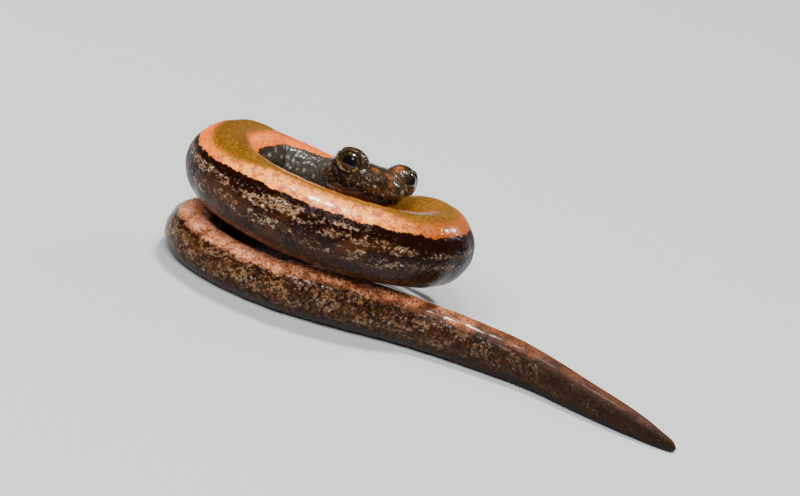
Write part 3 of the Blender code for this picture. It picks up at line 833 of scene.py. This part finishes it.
def rod(path, radii):
    """A round rod with rounded ends along a smooth path."""
    line = spline(path, 6)
    sizes = np.interp(np.linspace(0.0, len(radii) - 1.0, len(line)), range(len(radii)), radii)
    data = bpy.data.curves.new("rod", "CURVE")
    data.dimensions = "3D"
    data.bevel_depth = 1.0
    data.bevel_resolution = 4
    data.use_fill_caps = True
    thread = data.splines.new("POLY")
    thread.points.add(len(line) - 1)
    for point, spot, size in zip(thread.points, line, sizes):
        point.co = (*spot, 1.0)
        point.radius = size
    rounded = bpy.data.objects.new("rod", data)
    bpy.context.scene.collection.objects.link(rounded)
    choose(rounded)
    bpy.ops.object.convert(target="MESH")
    pieces = [bpy.context.object]
    for spot, size in ((line[0], sizes[0]), (line[-1], sizes[-1])):
        bpy.ops.mesh.primitive_uv_sphere_add(segments=16, ring_count=10, radius=size, location=spot)
        pieces.append(bpy.context.object)
    return pieces


def limb(root, angle, hand, size):
    """A short leg with its foot and four toes, rooted in the flank, in one smooth body."""
    path = [limb_point(root, hand, back * size, angle + turn, lift + more * size)
            for back, turn, lift, more, _ in LEG]
    pieces = rod(path, [row[-1] * size for row in LEG])
    wrist = WRIST * size + GAP
    palm = [limb_point(root, hand, wrist + back + longer * size, angle, GAP + lift + more * size)
            for back, longer, lift, more, _ in PALM]
    pieces += rod(palm, [row[-1] * size for row in PALM])
    for spread, reach in TOES:
        toe = [limb_point(root, hand, wrist + (back + longer * reach) * size, angle + spread * share,
                          GAP + lift) for back, longer, share, lift, _ in TOE]
        pieces += rod(toe, [row[-1] * size for row in TOE])
    made = join(*pieces)
    bpy.ops.object.transform_apply(location=True, rotation=True, scale=True)
    modify(made, "REMESH", mode="VOXEL", voxel_size=LIMB_VOXEL)
    edit(made, lambda: bpy.ops.mesh.vertices_smooth(factor=0.5, repeat=4))
    return made


def add_to_skin(skin, limbs, rims):
    """Join the limbs and the lids' rims to the skin, and give each point its place in the pattern."""
    own = read_points(skin.data)
    lie, turn, lip = (stored(skin.data, name) for name in ("lie", "turn", "lip"))
    on_limb = np.concatenate([read_points(piece.data) for piece in limbs])
    on_rim = np.concatenate([read_points(piece.data) for piece in rims])
    extra = join(*limbs, *rims)
    for layer in list(extra.data.uv_layers):
        extra.data.uv_layers.remove(layer)
    extra.data.uv_layers.new(name="OFBake")
    edit(extra, lambda: bpy.ops.uv.smart_project(angle_limit=1.15, island_margin=0.01))
    found = read_numbers(extra.data.uv_layers["OFBake"].uv, "vector", 2)
    low = STRIPS * STRIP_HEIGHT + 0.01
    found[:, 1] = low + found[:, 1] * (0.99 - low)
    extra.data.uv_layers["OFBake"].uv.foreach_set("vector", found.astype(np.float32).ravel())
    modify(skin, "BOOLEAN", object=extra, operation="UNION", solver="MANIFOLD")
    bpy.data.objects.remove(extra)
    sources = np.concatenate((own, on_limb, on_rim))
    tree = KDTree(len(sources))
    for index, spot in enumerate(sources):
        tree.insert(spot, index)
    tree.balance()
    nearest = np.array([tree.find(spot)[1] for spot in read_points(skin.data)])
    rim_lie = in_frame(on_rim, SNOUT, -FORWARD, LEFT, HEAD_UP)
    kinds = np.repeat((0.0, 1.0, 2.0), (len(own), len(on_limb), len(on_rim)))
    added = (0, len(sources) - len(own))
    for name, values in (("lie", np.concatenate((lie, on_limb + LIMB_LIE, rim_lie))),
                         ("turn", np.pad(turn, added)), ("lip", np.pad(lip, added)),
                         ("limb", kinds == 1.0), ("rim", kinds == 2.0)):
        store(skin.data, name, values[nearest])


def eyeball(name, hand):
    """An eyeball whose clear front stands out a little."""
    centre, axis, across, top = eye_frame(hand)
    bpy.ops.mesh.primitive_uv_sphere_add(segments=72, ring_count=48, radius=1.0)
    eye = bpy.context.object
    eye.name = name
    local = read_points(eye.data)
    size = EYEBALL + CORNEA * hump(np.arccos(np.clip(local[:, 2], -1.0, 1.0)), CORNEA_REACH)
    local = local * size[:, None]
    store(eye.data, "gaze", local)
    spots = centre + local[:, 2:] * axis + local[:, :1] * across + local[:, 1:2] * top
    eye.data.vertices.foreach_set("co", spots.ravel())
    edit(eye, face_out)
    return eye


def settle(piece, look):
    """Bring a finished piece from millimetres into the frame, smooth its shading and give it its look."""
    piece.data.transform(Matrix.Translation(SHIFT) @ Matrix.Scale(MM, 4))
    points = np.clip(read_points(piece.data), CAD_BOX[0], CAD_BOX[1])
    piece.data.vertices.foreach_set("co", points.ravel())
    piece.data.materials.clear()
    piece.data.materials.append(look)
    choose(piece)
    bpy.ops.object.shade_smooth()
    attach(piece, "root")


def frame_shift():
    """How far the frame's origin lies from the centre line's own, in metres."""
    low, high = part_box("eye_right")
    return Vector((low + high) / 2) - Vector(eye_frame(-1)[0]) * MM


class Wire:
    """One output in a material, for use in Python expressions."""

    def __init__(self, look, socket):
        self.look = look
        self.socket = socket

    def join(self, operation, first, second=0.0):
        return self.look.node("ShaderNodeMath", {"operation": operation}, {0: first, 1: second})

    def __add__(self, other):
        return self.join("ADD", self, other)

    def __radd__(self, other):
        return self.join("ADD", other, self)

    def __sub__(self, other):
        return self.join("SUBTRACT", self, other)

    def __rsub__(self, other):
        return self.join("SUBTRACT", other, self)

    def __mul__(self, other):
        return self.join("MULTIPLY", self, other)

    def __rmul__(self, other):
        return self.join("MULTIPLY", other, self)

    def __truediv__(self, other):
        return self.join("DIVIDE", self, other)

    def __pow__(self, other):
        return self.join("POWER", self, other)

    def most(self, other):
        return self.join("MAXIMUM", self, other)


class Look:
    """A material built from expressions."""

    def __init__(self, name):
        self.material = bpy.data.materials.new(name)
        self.material.use_nodes = True
        self.tree = self.material.node_tree
        self.shader = self.tree.nodes["Principled BSDF"]

    def node(self, kind, settings, inputs, output=0):
        """Add a node, set it, then feed its sockets with values or wires."""
        made = self.tree.nodes.new(kind)
        for name, value in settings.items():
            setattr(made, name, value)
        for socket, value in inputs.items():
            self.feed(made.inputs[socket], value)
        return Wire(self, made.outputs[output])

    def feed(self, socket, value):
        if isinstance(value, Wire):
            self.tree.links.new(value.socket, socket)
        elif socket.type == "RGBA":
            socket.default_value = (*value, 1.0)
        else:
            socket.default_value = value

    def set(self, **values):
        """Set or feed the shader's own sockets, named with underscores for spaces."""
        for name, value in values.items():
            self.feed(self.shader.inputs[name.replace("_", " ")], value)

    def attribute(self, name, output):
        return self.node("ShaderNodeAttribute", {"attribute_name": name}, {}, output)

    def parts(self, vector):
        """The three numbers of a vector."""
        split = self.node("ShaderNodeSeparateXYZ", {}, {0: vector})
        return [Wire(self, split.socket.node.outputs[index]) for index in range(3)]

    def vectors(self, operation, first, second, output="Vector"):
        return self.node("ShaderNodeVectorMath", {"operation": operation}, {0: first, 1: second}, output)

    def clouds(self, vector, scale, detail, roughness, shift=None):
        """Soft noise between 0 and 1."""
        if shift:
            vector = self.vectors("ADD", vector, shift)
        return self.node("ShaderNodeTexNoise", {},
                         {"Vector": vector, "Scale": scale, "Detail": detail, "Roughness": roughness})

    def cells(self, vector, scale, feature="F1"):
        """Distance from the middle of the nearest of scattered cells."""
        return self.node("ShaderNodeTexVoronoi", {"feature": feature}, {"Vector": vector, "Scale": scale},
                         "Distance")

    def rise(self, value, low, high):
        """0 below low and 1 above high, or the other way round where high is the smaller."""
        turned = low > high
        return self.node("ShaderNodeMapRange", {"interpolation_type": "SMOOTHSTEP"},
                         {0: value, 1: min(low, high), 2: max(low, high), 3: float(turned),
                          4: float(not turned)})

    def within(self, value, stretch):
        """0 up to a stretch's start, 1 where it is full, and 0 again past its end."""
        start, full, falling, end = stretch
        return self.rise(value, start, full) * self.rise(value, end, falling)

    def paint(self, ground, *coats):
        """Lay coats of colour over a ground, one after another, each with its own share."""
        for coat, share in coats:
            ground = self.node("ShaderNodeMix", {"data_type": "RGBA"}, {0: share, 6: ground, 7: coat}, 2)
        return ground


# Colours: red, green and blue. Some of them also carry painted light, as noted where they are used.
OLIVE = (0.215, 0.094, 0.004)
OLIVE_DARK = (0.080, 0.038, 0.001)
SIENNA = (0.23, 0.064, 0.010)
PEACH_AND_HIGHLIGHT = (1.0, 0.345, 0.050)
ORANGE = (0.36, 0.082, 0.003)
TERRACOTTA = (0.90, 0.155, 0.008)
MAUVE = (0.40, 0.078, 0.032)
RUST = (0.15, 0.015, 0.001)
TAIL_RED = (0.60, 0.130, 0.032)
TAIL_RUST = (0.210, 0.042, 0.003)
TAIL_PALE_AND_SHEEN = (1.0, 0.46, 0.25)
TAIL_SIDE = (0.088, 0.032, 0.010)
TAIL_TAN = (0.30, 0.130, 0.055)
TIP_DARK = (0.012, 0.005, 0.0015)
SIDE_DARK = (0.0085, 0.0015, 0.0003)
SIDE_BROWN = (0.036, 0.011, 0.002)
SPECK_BROWN = (0.105, 0.052, 0.024)
SPECKLE = (0.26, 0.155, 0.085)
SPECK_PALE = (0.42, 0.33, 0.24)
WHITE_SPECK_AND_SPARKLE = (0.70, 0.66, 0.58)
NECK_BLUE = (0.038, 0.034, 0.026)
NECK_BEAD_GLINT = (0.34, 0.36, 0.32)
HEAD_BROWN = (0.015, 0.0080, 0.0027)
HEAD_LIGHT = (0.060, 0.033, 0.014)
HEAD_ORANGE = (0.27, 0.080, 0.016)
JAW_RED = (0.290, 0.088, 0.040)
BELLY_DARK_AND_SHADE = (0.020, 0.007, 0.002)
GOLD = (0.70, 0.42, 0.10)
PUPIL_BLACK = (0.0015, 0.001, 0.001)
IRIS_DARK = (0.008, 0.005, 0.002)
IRIS_BROWN = (0.034, 0.019, 0.007)
FLOOR_GREY = (0.50, 0.50, 0.495)
ROOM_WHITE = (1.0, 1.0, 1.0)

# Noise patterns: scale, detail and roughness, and a shift that keeps a pattern apart from the others.
RAGGED = (1.5, 5.0, 0.62)
CLUMPS = (0.9, 3.0, 0.55, (7.0, 3.0, 1.0))
FINE = (4.5, 5.0, 0.68, (3.0, 9.0, 4.0))
STRIPE_GRAIN = (9.0, 4.0, 0.6)
STRIPE_MOTTLES = (2.4, 4.0, 0.65, (8.0, 4.0, 2.0))
STRIPE_STREAKS = (1.7, 4.0, 0.6, (2.0, 5.0, 9.0))
SIDE_GRAIN = (8.0, 3.0, 0.6, (1.0, 8.0, 2.0))
SIDE_MOTTLES = (2.6, 4.0, 0.62, (6.0, 3.0, 7.0))
SIDE_PATCHES = (1.3, 2.0, 0.5, (5.0, 1.0, 8.0))
SIDE_BLOTCHES = (1.2, 5.0, 0.62, (3.0, 7.0, 5.0))
SIDE_DOTS = (7.0, 2.0, 0.5, (11.0, 2.0, 6.0))
HEAD_DOTS = (6.0, 2.0, 0.5, (4.0, 2.0, 6.0))
SKIN_SWELLS = (2.6, 2.0, 0.5)
SKIN_PORES = (14.0, 2.0, 0.5)
EYE_FLECKS = (7.0, 3.0, 0.6)
STREAK_STRETCH = (0.55, 1.3, 1.3)
PATCH_STRETCH = (0.6, 1.0, 1.0)

# Changes of the looks, in millimetres from the snout: where each starts and where it is complete.
TO_HEAD = (5.5, 4.3)
TO_NECK = (13.0, 8.5)
TO_TAIL = (42.0, 51.0)
TO_TIP = (64.0, 83.0)
# Where the tail's painted pale sheen gives way to rust, and where the far tail turns matt.
TAIL_FADES = (62.0, 74.0)
TAIL_DARKENS = (51.0, 76.0)
TOP_GRAINS = (50.0, 62.0)
SIDE_GRAINS = (48.0, 60.0)
STRIPE_WIDENS = (7.5, 13.5)
STRIPE_NARROWS = (15.5, 20.0)
LEFT_EDGE_WIDE = (17.0, 14.0)
RIGHT_EDGE_WIDE = (27.0, 30.0)
RUST_AT_NECK = (13.0, 10.0)
RUST_AT_LEFT = (20.0, 16.0)
RUST_AT_RIGHT = (27.0, 31.0)
RED_AT_LEFT = (20.5, 16.5)
# Where the stripe's olive darkens towards the coil's left end, as painted shade.
SHADE_AT_LEFT = (20.0, 15.0)

# Stretches of the looks: where each starts, where it is full from and to, and where it ends.
FRONT_STRETCH = (17.5, 20.5, 26.0, 29.0)
RIGHT_STRETCH = (25.5, 28.5, 37.0, 40.0)
FAR_STRETCH = (31.5, 33.5, 41.0, 43.0)
MATT_LEFT = (7.0, 9.0, 15.0, 17.0)
MATT_RIGHT = (29.5, 32.0, 43.0, 46.0)

# Turns round the body, in degrees from the middle of the back: the stripe's half width and what is added
# to it or taken from it, its outer part, the rows of speckles, the belly and the tail's tan and shine.
STRIPE_TURN = 21.0
WIDER_BEHIND_NECK = 34.0
NARROWER_IN_FRONT = 12.0
WIDER_ON_FAR_SIDE = 36.0
STRIPE_OUTER = (-23.0, -7.0)
UPPER_ROW_ENDS = (80.0, 75.0)
LOWER_ROW = (82.0, 87.0, 99.0, 112.0)
TAIL_ROWS_END = (128.0, 104.0)
TO_BELLY = (112.0, 126.0)
TAN_ENDS = (112.0, 66.0)
SPARKLE_ENDS = (92.0, 66.0)

# Depth of the fine relief, in metres.
RELIEF_DEPTH = 0.00006

# Orange spots of the head: their places back, left and up of the tip of the snout, and their sizes.
HEAD_SPOTS = (((1.29, 1.02, 1.38), 0.34), ((0.63, 0.34, 0.79), 0.30), ((0.10, 0.35, 0.34), 0.13),
              ((0.80, -0.50, 0.85), 0.26), ((1.60, -2.30, 1.10), 0.16), ((2.30, -1.30, 1.35), 0.22),
              ((2.60, 0.60, 1.25), 0.40), ((3.30, -0.50, 1.20), 0.36), ((2.10, 1.90, 1.30), 0.20))
SPOT_EDGE = 0.12
TO_JAW = (-0.55, -0.80)
# Where the head's pale specks grow denser, low on the head, where they also lighten the cheek as painted
# light.
LOW_DOTS_AND_LIGHT = (0.4, -0.1)

# The eye, in millimetres from its axis: half sizes of the pupil, and the arc of gold under it.
PUPIL_ACROSS = 0.41
PUPIL_UP = 0.31
GOLD_ARC = (0.53, 0.56, 0.60, 0.63)


def stripe_look(look, lie, at, turn, base, fine, ragged, clumps, on_tail, to_tip):
    """The stripe: olive along the middle, peach to rust at the edges, mottled red on the tail."""
    rise, paint = look.rise, look.paint
    grain = look.clouds(lie, *STRIPE_GRAIN)
    in_front = look.within(at, FRONT_STRETCH)
    at_ends = 1.1 * rise(at, *LEFT_EDGE_WIDE) + rise(at, *RIGHT_EDGE_WIDE)
    ragged_turn = turn - base + 30.0 * (fine - 0.5) + 34.0 * (grain - 0.5)
    outer = rise(ragged_turn + 20.0 * in_front + 12.0 * at_ends, *STRIPE_OUTER)
    torn = at + 3.0 * ragged
    rusty = rise(torn, *RUST_AT_RIGHT) + 0.28 * rise(torn, *RUST_AT_LEFT) + 0.35 * rise(at, *RUST_AT_NECK)
    dots = rise(0.4 * fine + 0.6 * grain, 0.485, 0.565)
    mottled = rise(look.clouds(lie, *STRIPE_MOTTLES), 0.47, 0.57)
    # Peach edges, turning orange towards the ends; the pale peach that shows in front is partly painted
    # highlight.
    edges = paint(PEACH_AND_HIGHLIGHT, (MAUVE, 0.85 * mottled), (ORANGE, rusty),
                  (TERRACOTTA, 0.85 * rise(torn, *RED_AT_LEFT)), (RUST, (0.36 + 0.46 * rusty) * dots))
    streak = look.clouds(look.vectors("MULTIPLY", lie, STREAK_STRETCH), *STRIPE_STREAKS) - 0.5
    streak = rise(streak * streak, 0.0008, 0.0) * rise(clumps, 0.44, 0.54)
    # Darker olive mottles, with more of them towards the coil's left end; that extra darkening is painted
    # shade.
    mottles_and_shade = 0.85 * rise(fine + 0.09 * rise(at, *SHADE_AT_LEFT), 0.45, 0.57)
    # Pale pink grains on the tail's top, which also carry painted sheen and painted light where the upper
    # loop shades the tail; towards the far tail they give way to rust.
    faded = rise(at + 6.0 * clumps, *TAIL_FADES)
    pale = rise(0.5 * fine + 0.5 * grain, 0.42, 0.55) * (1.0 - 0.85 * faded)
    near_edge = rise(turn, 5.0, 45.0)
    blotch = rise(0.5 * clumps + 0.5 * fine + 0.07 * near_edge + 0.05 * faded, 0.53, 0.62)
    grainy = 0.75 * rise(at, *TOP_GRAINS) * rise(0.5 * fine + 0.5 * grain, 0.50, 0.42)
    tail = paint(TAIL_RED, (TAIL_RUST, faded), (TAIL_PALE_AND_SHEEN, pale), (SIDE_BROWN, 0.85 * blotch),
                 (MAUVE, 0.5 * mottled * (1.0 - faded)), (TIP_DARK, grainy.most(0.80 * to_tip)))
    return paint(OLIVE, (OLIVE_DARK, mottles_and_shade.most(0.9 * streak)),
                 (SIENNA, 0.60 * dots * rise(ragged, 0.34, 0.52)), (edges, outer), (tail, on_tail))


def side_look(look, lie, at, turn, edge, fine, ragged, clumps, on_tail, to_tip):
    """The dark side, with two rows of fine pale speckles in ragged patches."""
    rise, paint, clouds = look.rise, look.paint, look.clouds
    below = turn - edge
    waving = turn + 16.0 * (clumps - 0.5) + 10.0 * (ragged - 0.5)
    right_end = look.within(at, RIGHT_STRETCH)
    upper_row = rise(below - 14.0 * right_end, 7.0, 12.0) * rise(waving, *UPPER_ROW_ENDS)
    rows = upper_row.most(0.85 * look.within(waving, LOWER_ROW))
    rows = rows.most(on_tail * rise(below, 2.0, 10.0) * rise(turn, *TAIL_ROWS_END))
    long_way = look.vectors("MULTIPLY", lie, PATCH_STRETCH)
    patch = rise(clouds(long_way, *SIDE_PATCHES), 0.47, 0.56)
    grain = clouds(lie, *SIDE_GRAIN)
    brown = rise(clumps, 0.40, 0.62) * rise(below, 12.0, 26.0) * (1.0 - 0.9 * right_end)
    blotch = rise(clouds(long_way, *SIDE_BLOTCHES), 0.46, 0.56)
    mottled = rise(0.5 * clouds(lie, *SIDE_MOTTLES) + 0.5 * fine, 0.43, 0.56)
    paler = on_tail * (0.25 + 0.75 * blotch) * (1.0 - 0.66 * rise(at, *TAIL_DARKENS))
    tan = rise(0.5 * grain + 0.5 * fine, 0.52, 0.62) * rise(turn, *TAN_ENDS)
    cover = rise(fine + 0.12 * patch * rows, 0.545, 0.665) * (0.12 + 0.88 * rows)
    cover = cover * (1.0 - 0.45 * on_tail) * (1.0 - 0.6 * to_tip) * (1.0 - 0.5 * right_end)
    speckles = paint(SPECK_BROWN, (SPECKLE, rise(grain, 0.42, 0.60)))
    # White dots in the speckle rows: fine pale specks that also stand in as painted sparkle.
    dots = rise(clouds(lie, *SIDE_DOTS), 0.635, 0.69)
    dots = dots * rows * (0.10 + 0.40 * patch) * (1.0 - 0.3 * on_tail)
    # The underside: dark, with brown specks; its darkness is partly the belly's own and partly painted
    # shade against the light thrown up by the floor.
    under = paint(BELLY_DARK_AND_SHADE, (SPECK_BROWN, 0.7 * rise(fine, 0.54, 0.64)))
    grainy = on_tail * rise(at, *SIDE_GRAINS) * rise(0.6 * fine + 0.4 * grain, 0.52, 0.44)
    return paint(SIDE_DARK, (SIDE_BROWN, brown), (TAIL_SIDE, mottled * paler),
                 (TAIL_TAN, 0.8 * tan * paler), (speckles, cover), (WHITE_SPECK_AND_SPARKLE, dots),
                 (under, rise(waving, *TO_BELLY)), (TIP_DARK, (0.85 * to_tip).most(0.85 * grainy)))


def head_look(look, lie, fine, clumps, lip, rim):
    """The dark, wet head: orange spots on top, small pale specks, and lips with a thin reddish edge."""
    rise, paint = look.rise, look.paint
    height = look.parts(lie)[2]
    spotted = 0.0
    for spot, size in HEAD_SPOTS:
        away = look.vectors("DISTANCE", lie, spot, "Value")
        spotted = rise(away + 1.3 * (fine - 0.5), size + SPOT_EDGE, size - SPOT_EDGE).most(spotted)
    # Pale specks, denser low on the head, where they also lighten the shaded cheek as painted light.
    dots = rise(look.clouds(lie, *HEAD_DOTS), 0.61, 0.68)
    return paint(HEAD_BROWN, (HEAD_LIGHT, rise(0.6 * fine + 0.4 * clumps, 0.48, 0.62)),
                 (HEAD_ORANGE, spotted * (0.25 + 0.75 * rise(fine, 0.44, 0.56))),
                 (JAW_RED, 0.7 * rise(height, *TO_JAW)),
                 (SPECK_PALE, dots * (0.08 + 0.30 * rise(height, *LOW_DOTS_AND_LIGHT))),
                 (JAW_RED, 0.70 * lip), (GOLD, 0.10 * rim * rise(fine, 0.52, 0.62)))


def skin_look():
    """Wet skin: a coppery stripe along the back, over dark and finely speckled sides."""
    look = Look("wet_skin")
    rise, paint = look.rise, look.paint
    lie = look.attribute("lie", "Vector")
    at, aside, _ = look.parts(lie)
    turn, limb_share, rim, lip = (look.attribute(name, "Fac") for name in ("turn", "limb", "rim", "lip"))
    ragged, clumps, fine = (look.clouds(lie, *pattern) for pattern in (RAGGED, CLUMPS, FINE))
    on_tail = rise(at, *TO_TAIL)
    to_tip = rise(at + 5.0 * ragged, *TO_TIP)
    on_head = rise(at + 0.9 * ragged, *TO_HEAD)
    by_neck = rise(at + 2.0 * clumps - 3.5 * rise(aside, 0.0, -0.5), *TO_NECK)
    far_side = look.within(at, FAR_STRETCH) * rise(aside, 0.0, -0.6)

    base = (STRIPE_TURN + WIDER_BEHIND_NECK * rise(at, *STRIPE_WIDENS)
            - NARROWER_IN_FRONT * rise(at, *STRIPE_NARROWS) + WIDER_ON_FAR_SIDE * far_side)
    edge = base + (18.0 + 20.0 * on_tail) * (ragged - 0.5) + (8.0 + 34.0 * on_tail) * (fine - 0.5)
    in_stripe = rise((edge - turn) / (1.0 + 9.0 * on_tail), -1.0, 1.0)
    stripe = stripe_look(look, lie, at, turn, base, fine, ragged, clumps, on_tail, to_tip)
    side = side_look(look, lie, at, turn, edge, fine, ragged, clumps, on_tail, to_tip)
    on_neck = by_neck * rise(turn - edge, -2.0, 5.0)
    bumps = rise(look.cells(lie, 2.0), 0.36, 0.16) * on_neck
    # The neck: dark, with pale dots on its beads that are painted glints.
    neck = paint(NECK_BLUE, (NECK_BEAD_GLINT, bumps * (0.25 + 0.5 * rise(fine, 0.44, 0.60))))
    head = head_look(look, lie, fine, clumps, lip, rim)
    leg = paint(HEAD_BROWN, (SPECK_BROWN, rise(fine, 0.50, 0.62)))
    skin = paint(side, (neck, 0.9 * on_neck), (stripe, in_stripe), (head, on_head.most(rim)),
                 (leg, limb_share))

    beads = look.cells(lie, 7.0, "SMOOTH_F1")
    height = 0.7 * look.clouds(lie, *SKIN_SWELLS) + 0.35 * look.clouds(lie, *SKIN_PORES) - 0.75 * beads
    height = height + 1.6 * bumps + 1.3 * on_tail * fine
    bump = look.node("ShaderNodeBump", {}, {"Strength": 0.7, "Distance": RELIEF_DEPTH, "Height": height})

    # The far tail and the left and right ends of the coil are matt. The head and neck are wet, the stripe
    # is glossy, and so are the raised grains of the tail.
    wet = on_head.most(on_neck).most(rim)
    matt = rise(at, *TAIL_FADES) + 0.8 * look.within(at, MATT_RIGHT)
    matt = matt + 0.9 * look.within(at, MATT_LEFT) * (1.0 - on_neck)
    sparkling = on_tail * rise(turn, *SPARKLE_ENDS) * rise(fine, 0.42, 0.56)
    glossy = 0.50 * in_stripe + 0.48 * sparkling
    look.set(Base_Color=skin, Normal=bump, Roughness=0.10 + 0.14 * fine + 0.38 * matt,
             Specular_IOR_Level=0.15, Coat_Roughness=0.15, Coat_IOR=1.38,
             Coat_Weight=0.02 + 0.48 * wet + glossy * (1.0 - matt).most(0.0))
    return look.material


def eye_look():
    """A dark iris with flecks of gold round a wide pupil, under a clear wet front."""
    look = Look("wet_eye")
    rise, paint = look.rise, look.paint
    gaze = look.attribute("gaze", "Vector")
    across, up, _ = look.parts(gaze)
    reach = (across * across + up * up) ** 0.5
    pupil = ((across / PUPIL_ACROSS) ** 2.0 + (up / PUPIL_UP) ** 2.0) ** 0.5
    flecks = look.clouds(gaze, *EYE_FLECKS)
    arc = look.within(reach, GOLD_ARC) * rise(up, -0.10, -0.30) * rise(flecks, 0.42, 0.54)
    above = rise(up, 0.20, 0.36) * rise(pupil, 1.10, 1.40) * rise(flecks, 0.54, 0.62)
    iris = paint(IRIS_DARK, (IRIS_BROWN, rise(flecks, 0.44, 0.62)),
                 (GOLD, (0.60 * arc).most(0.14 * above)))
    look.set(Base_Color=paint(PUPIL_BLACK, (iris, rise(pupil, 0.96, 1.06))), Roughness=0.20,
             Specular_IOR_Level=0.3, Coat_Weight=1.0, Coat_Roughness=0.015, Coat_IOR=1.36)
    return look.material


def stage():
    """Pale floor, pale room and the lights."""
    bpy.ops.mesh.primitive_circle_add(vertices=96, radius=FLOOR_RADIUS, fill_type="NGON")
    floor = bpy.context.object
    floor.name = "floor"
    paper = Look("pale_floor")
    paper.set(Base_Color=FLOOR_GREY, Roughness=0.9)
    floor.data.materials.append(paper.material)
    world = bpy.data.worlds.new("pale_room")
    world.use_nodes = True
    sky = world.node_tree.nodes["Background"]
    sky.inputs["Color"].default_value = (*ROOM_WHITE, 1.0)
    sky.inputs["Strength"].default_value = ROOM_LIGHT
    bpy.context.scene.world = world
    for name, azimuth, rise, away, size, power in LIGHTS:
        turned, lifted = radians(azimuth), radians(rise)
        way = Vector((sin(turned) * cos(lifted), -cos(turned) * cos(lifted), sin(lifted)))
        data = bpy.data.lights.new(name, "AREA")
        data.shape = "DISK"
        data.size = size
        data.energy = power
        lamp = bpy.data.objects.new(name, data)
        lamp.location = Vector(LIT_POINT) + way * away
        lamp.rotation_euler = way.to_track_quat("Z", "Y").to_euler()
        lamp.visible_glossy = name != "soft_light"
        bpy.context.scene.collection.objects.link(lamp)


def camera():
    """The camera at the photo's height, lean and framing."""
    data = bpy.data.cameras.new("camera")
    data.sensor_width = SENSOR_WIDTH
    data.lens = data.sensor_width * PIXELS_PER_MM * CAMERA_AWAY / PICTURE_WIDTH
    data.clip_start = 0.01
    seen = bpy.data.objects.new("camera", data)
    pitch, lean = radians(CAMERA_PITCH), radians(CAMERA_LEAN)
    look = Vector((0.0, cos(pitch), -sin(pitch)))
    level = Vector((1.0, 0.0, 0.0))
    upright = level.cross(look)
    right = level * cos(lean) + upright * sin(lean)
    top = upright * cos(lean) - level * sin(lean)
    seen.matrix_world = (Matrix.Translation(Vector(CAMERA_TARGET) * MM + SHIFT - look * CAMERA_AWAY * MM)
                         @ Matrix((right, top, -look)).transposed().to_4x4())
    bpy.context.scene.collection.objects.link(seen)
    bpy.context.scene.camera = seen


SHIFT = frame_shift()
camera()
stage()
skin = body_skin()
limbs = [limb(root, angle, hand, size) for hand in (1, -1) for root, angle, size in LEGS]
add_to_skin(skin, limbs, [eye_rim(1), eye_rim(-1)])
settle(skin, skin_look())
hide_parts(*[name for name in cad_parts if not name.startswith("eye_")])
wet_eye = eye_look()
for side_name, hand in (("left", 1), ("right", -1)):
    eye = eyeball("eyeball_" + side_name, hand)
    settle(eye, wet_eye)
    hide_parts("eye_" + side_name)
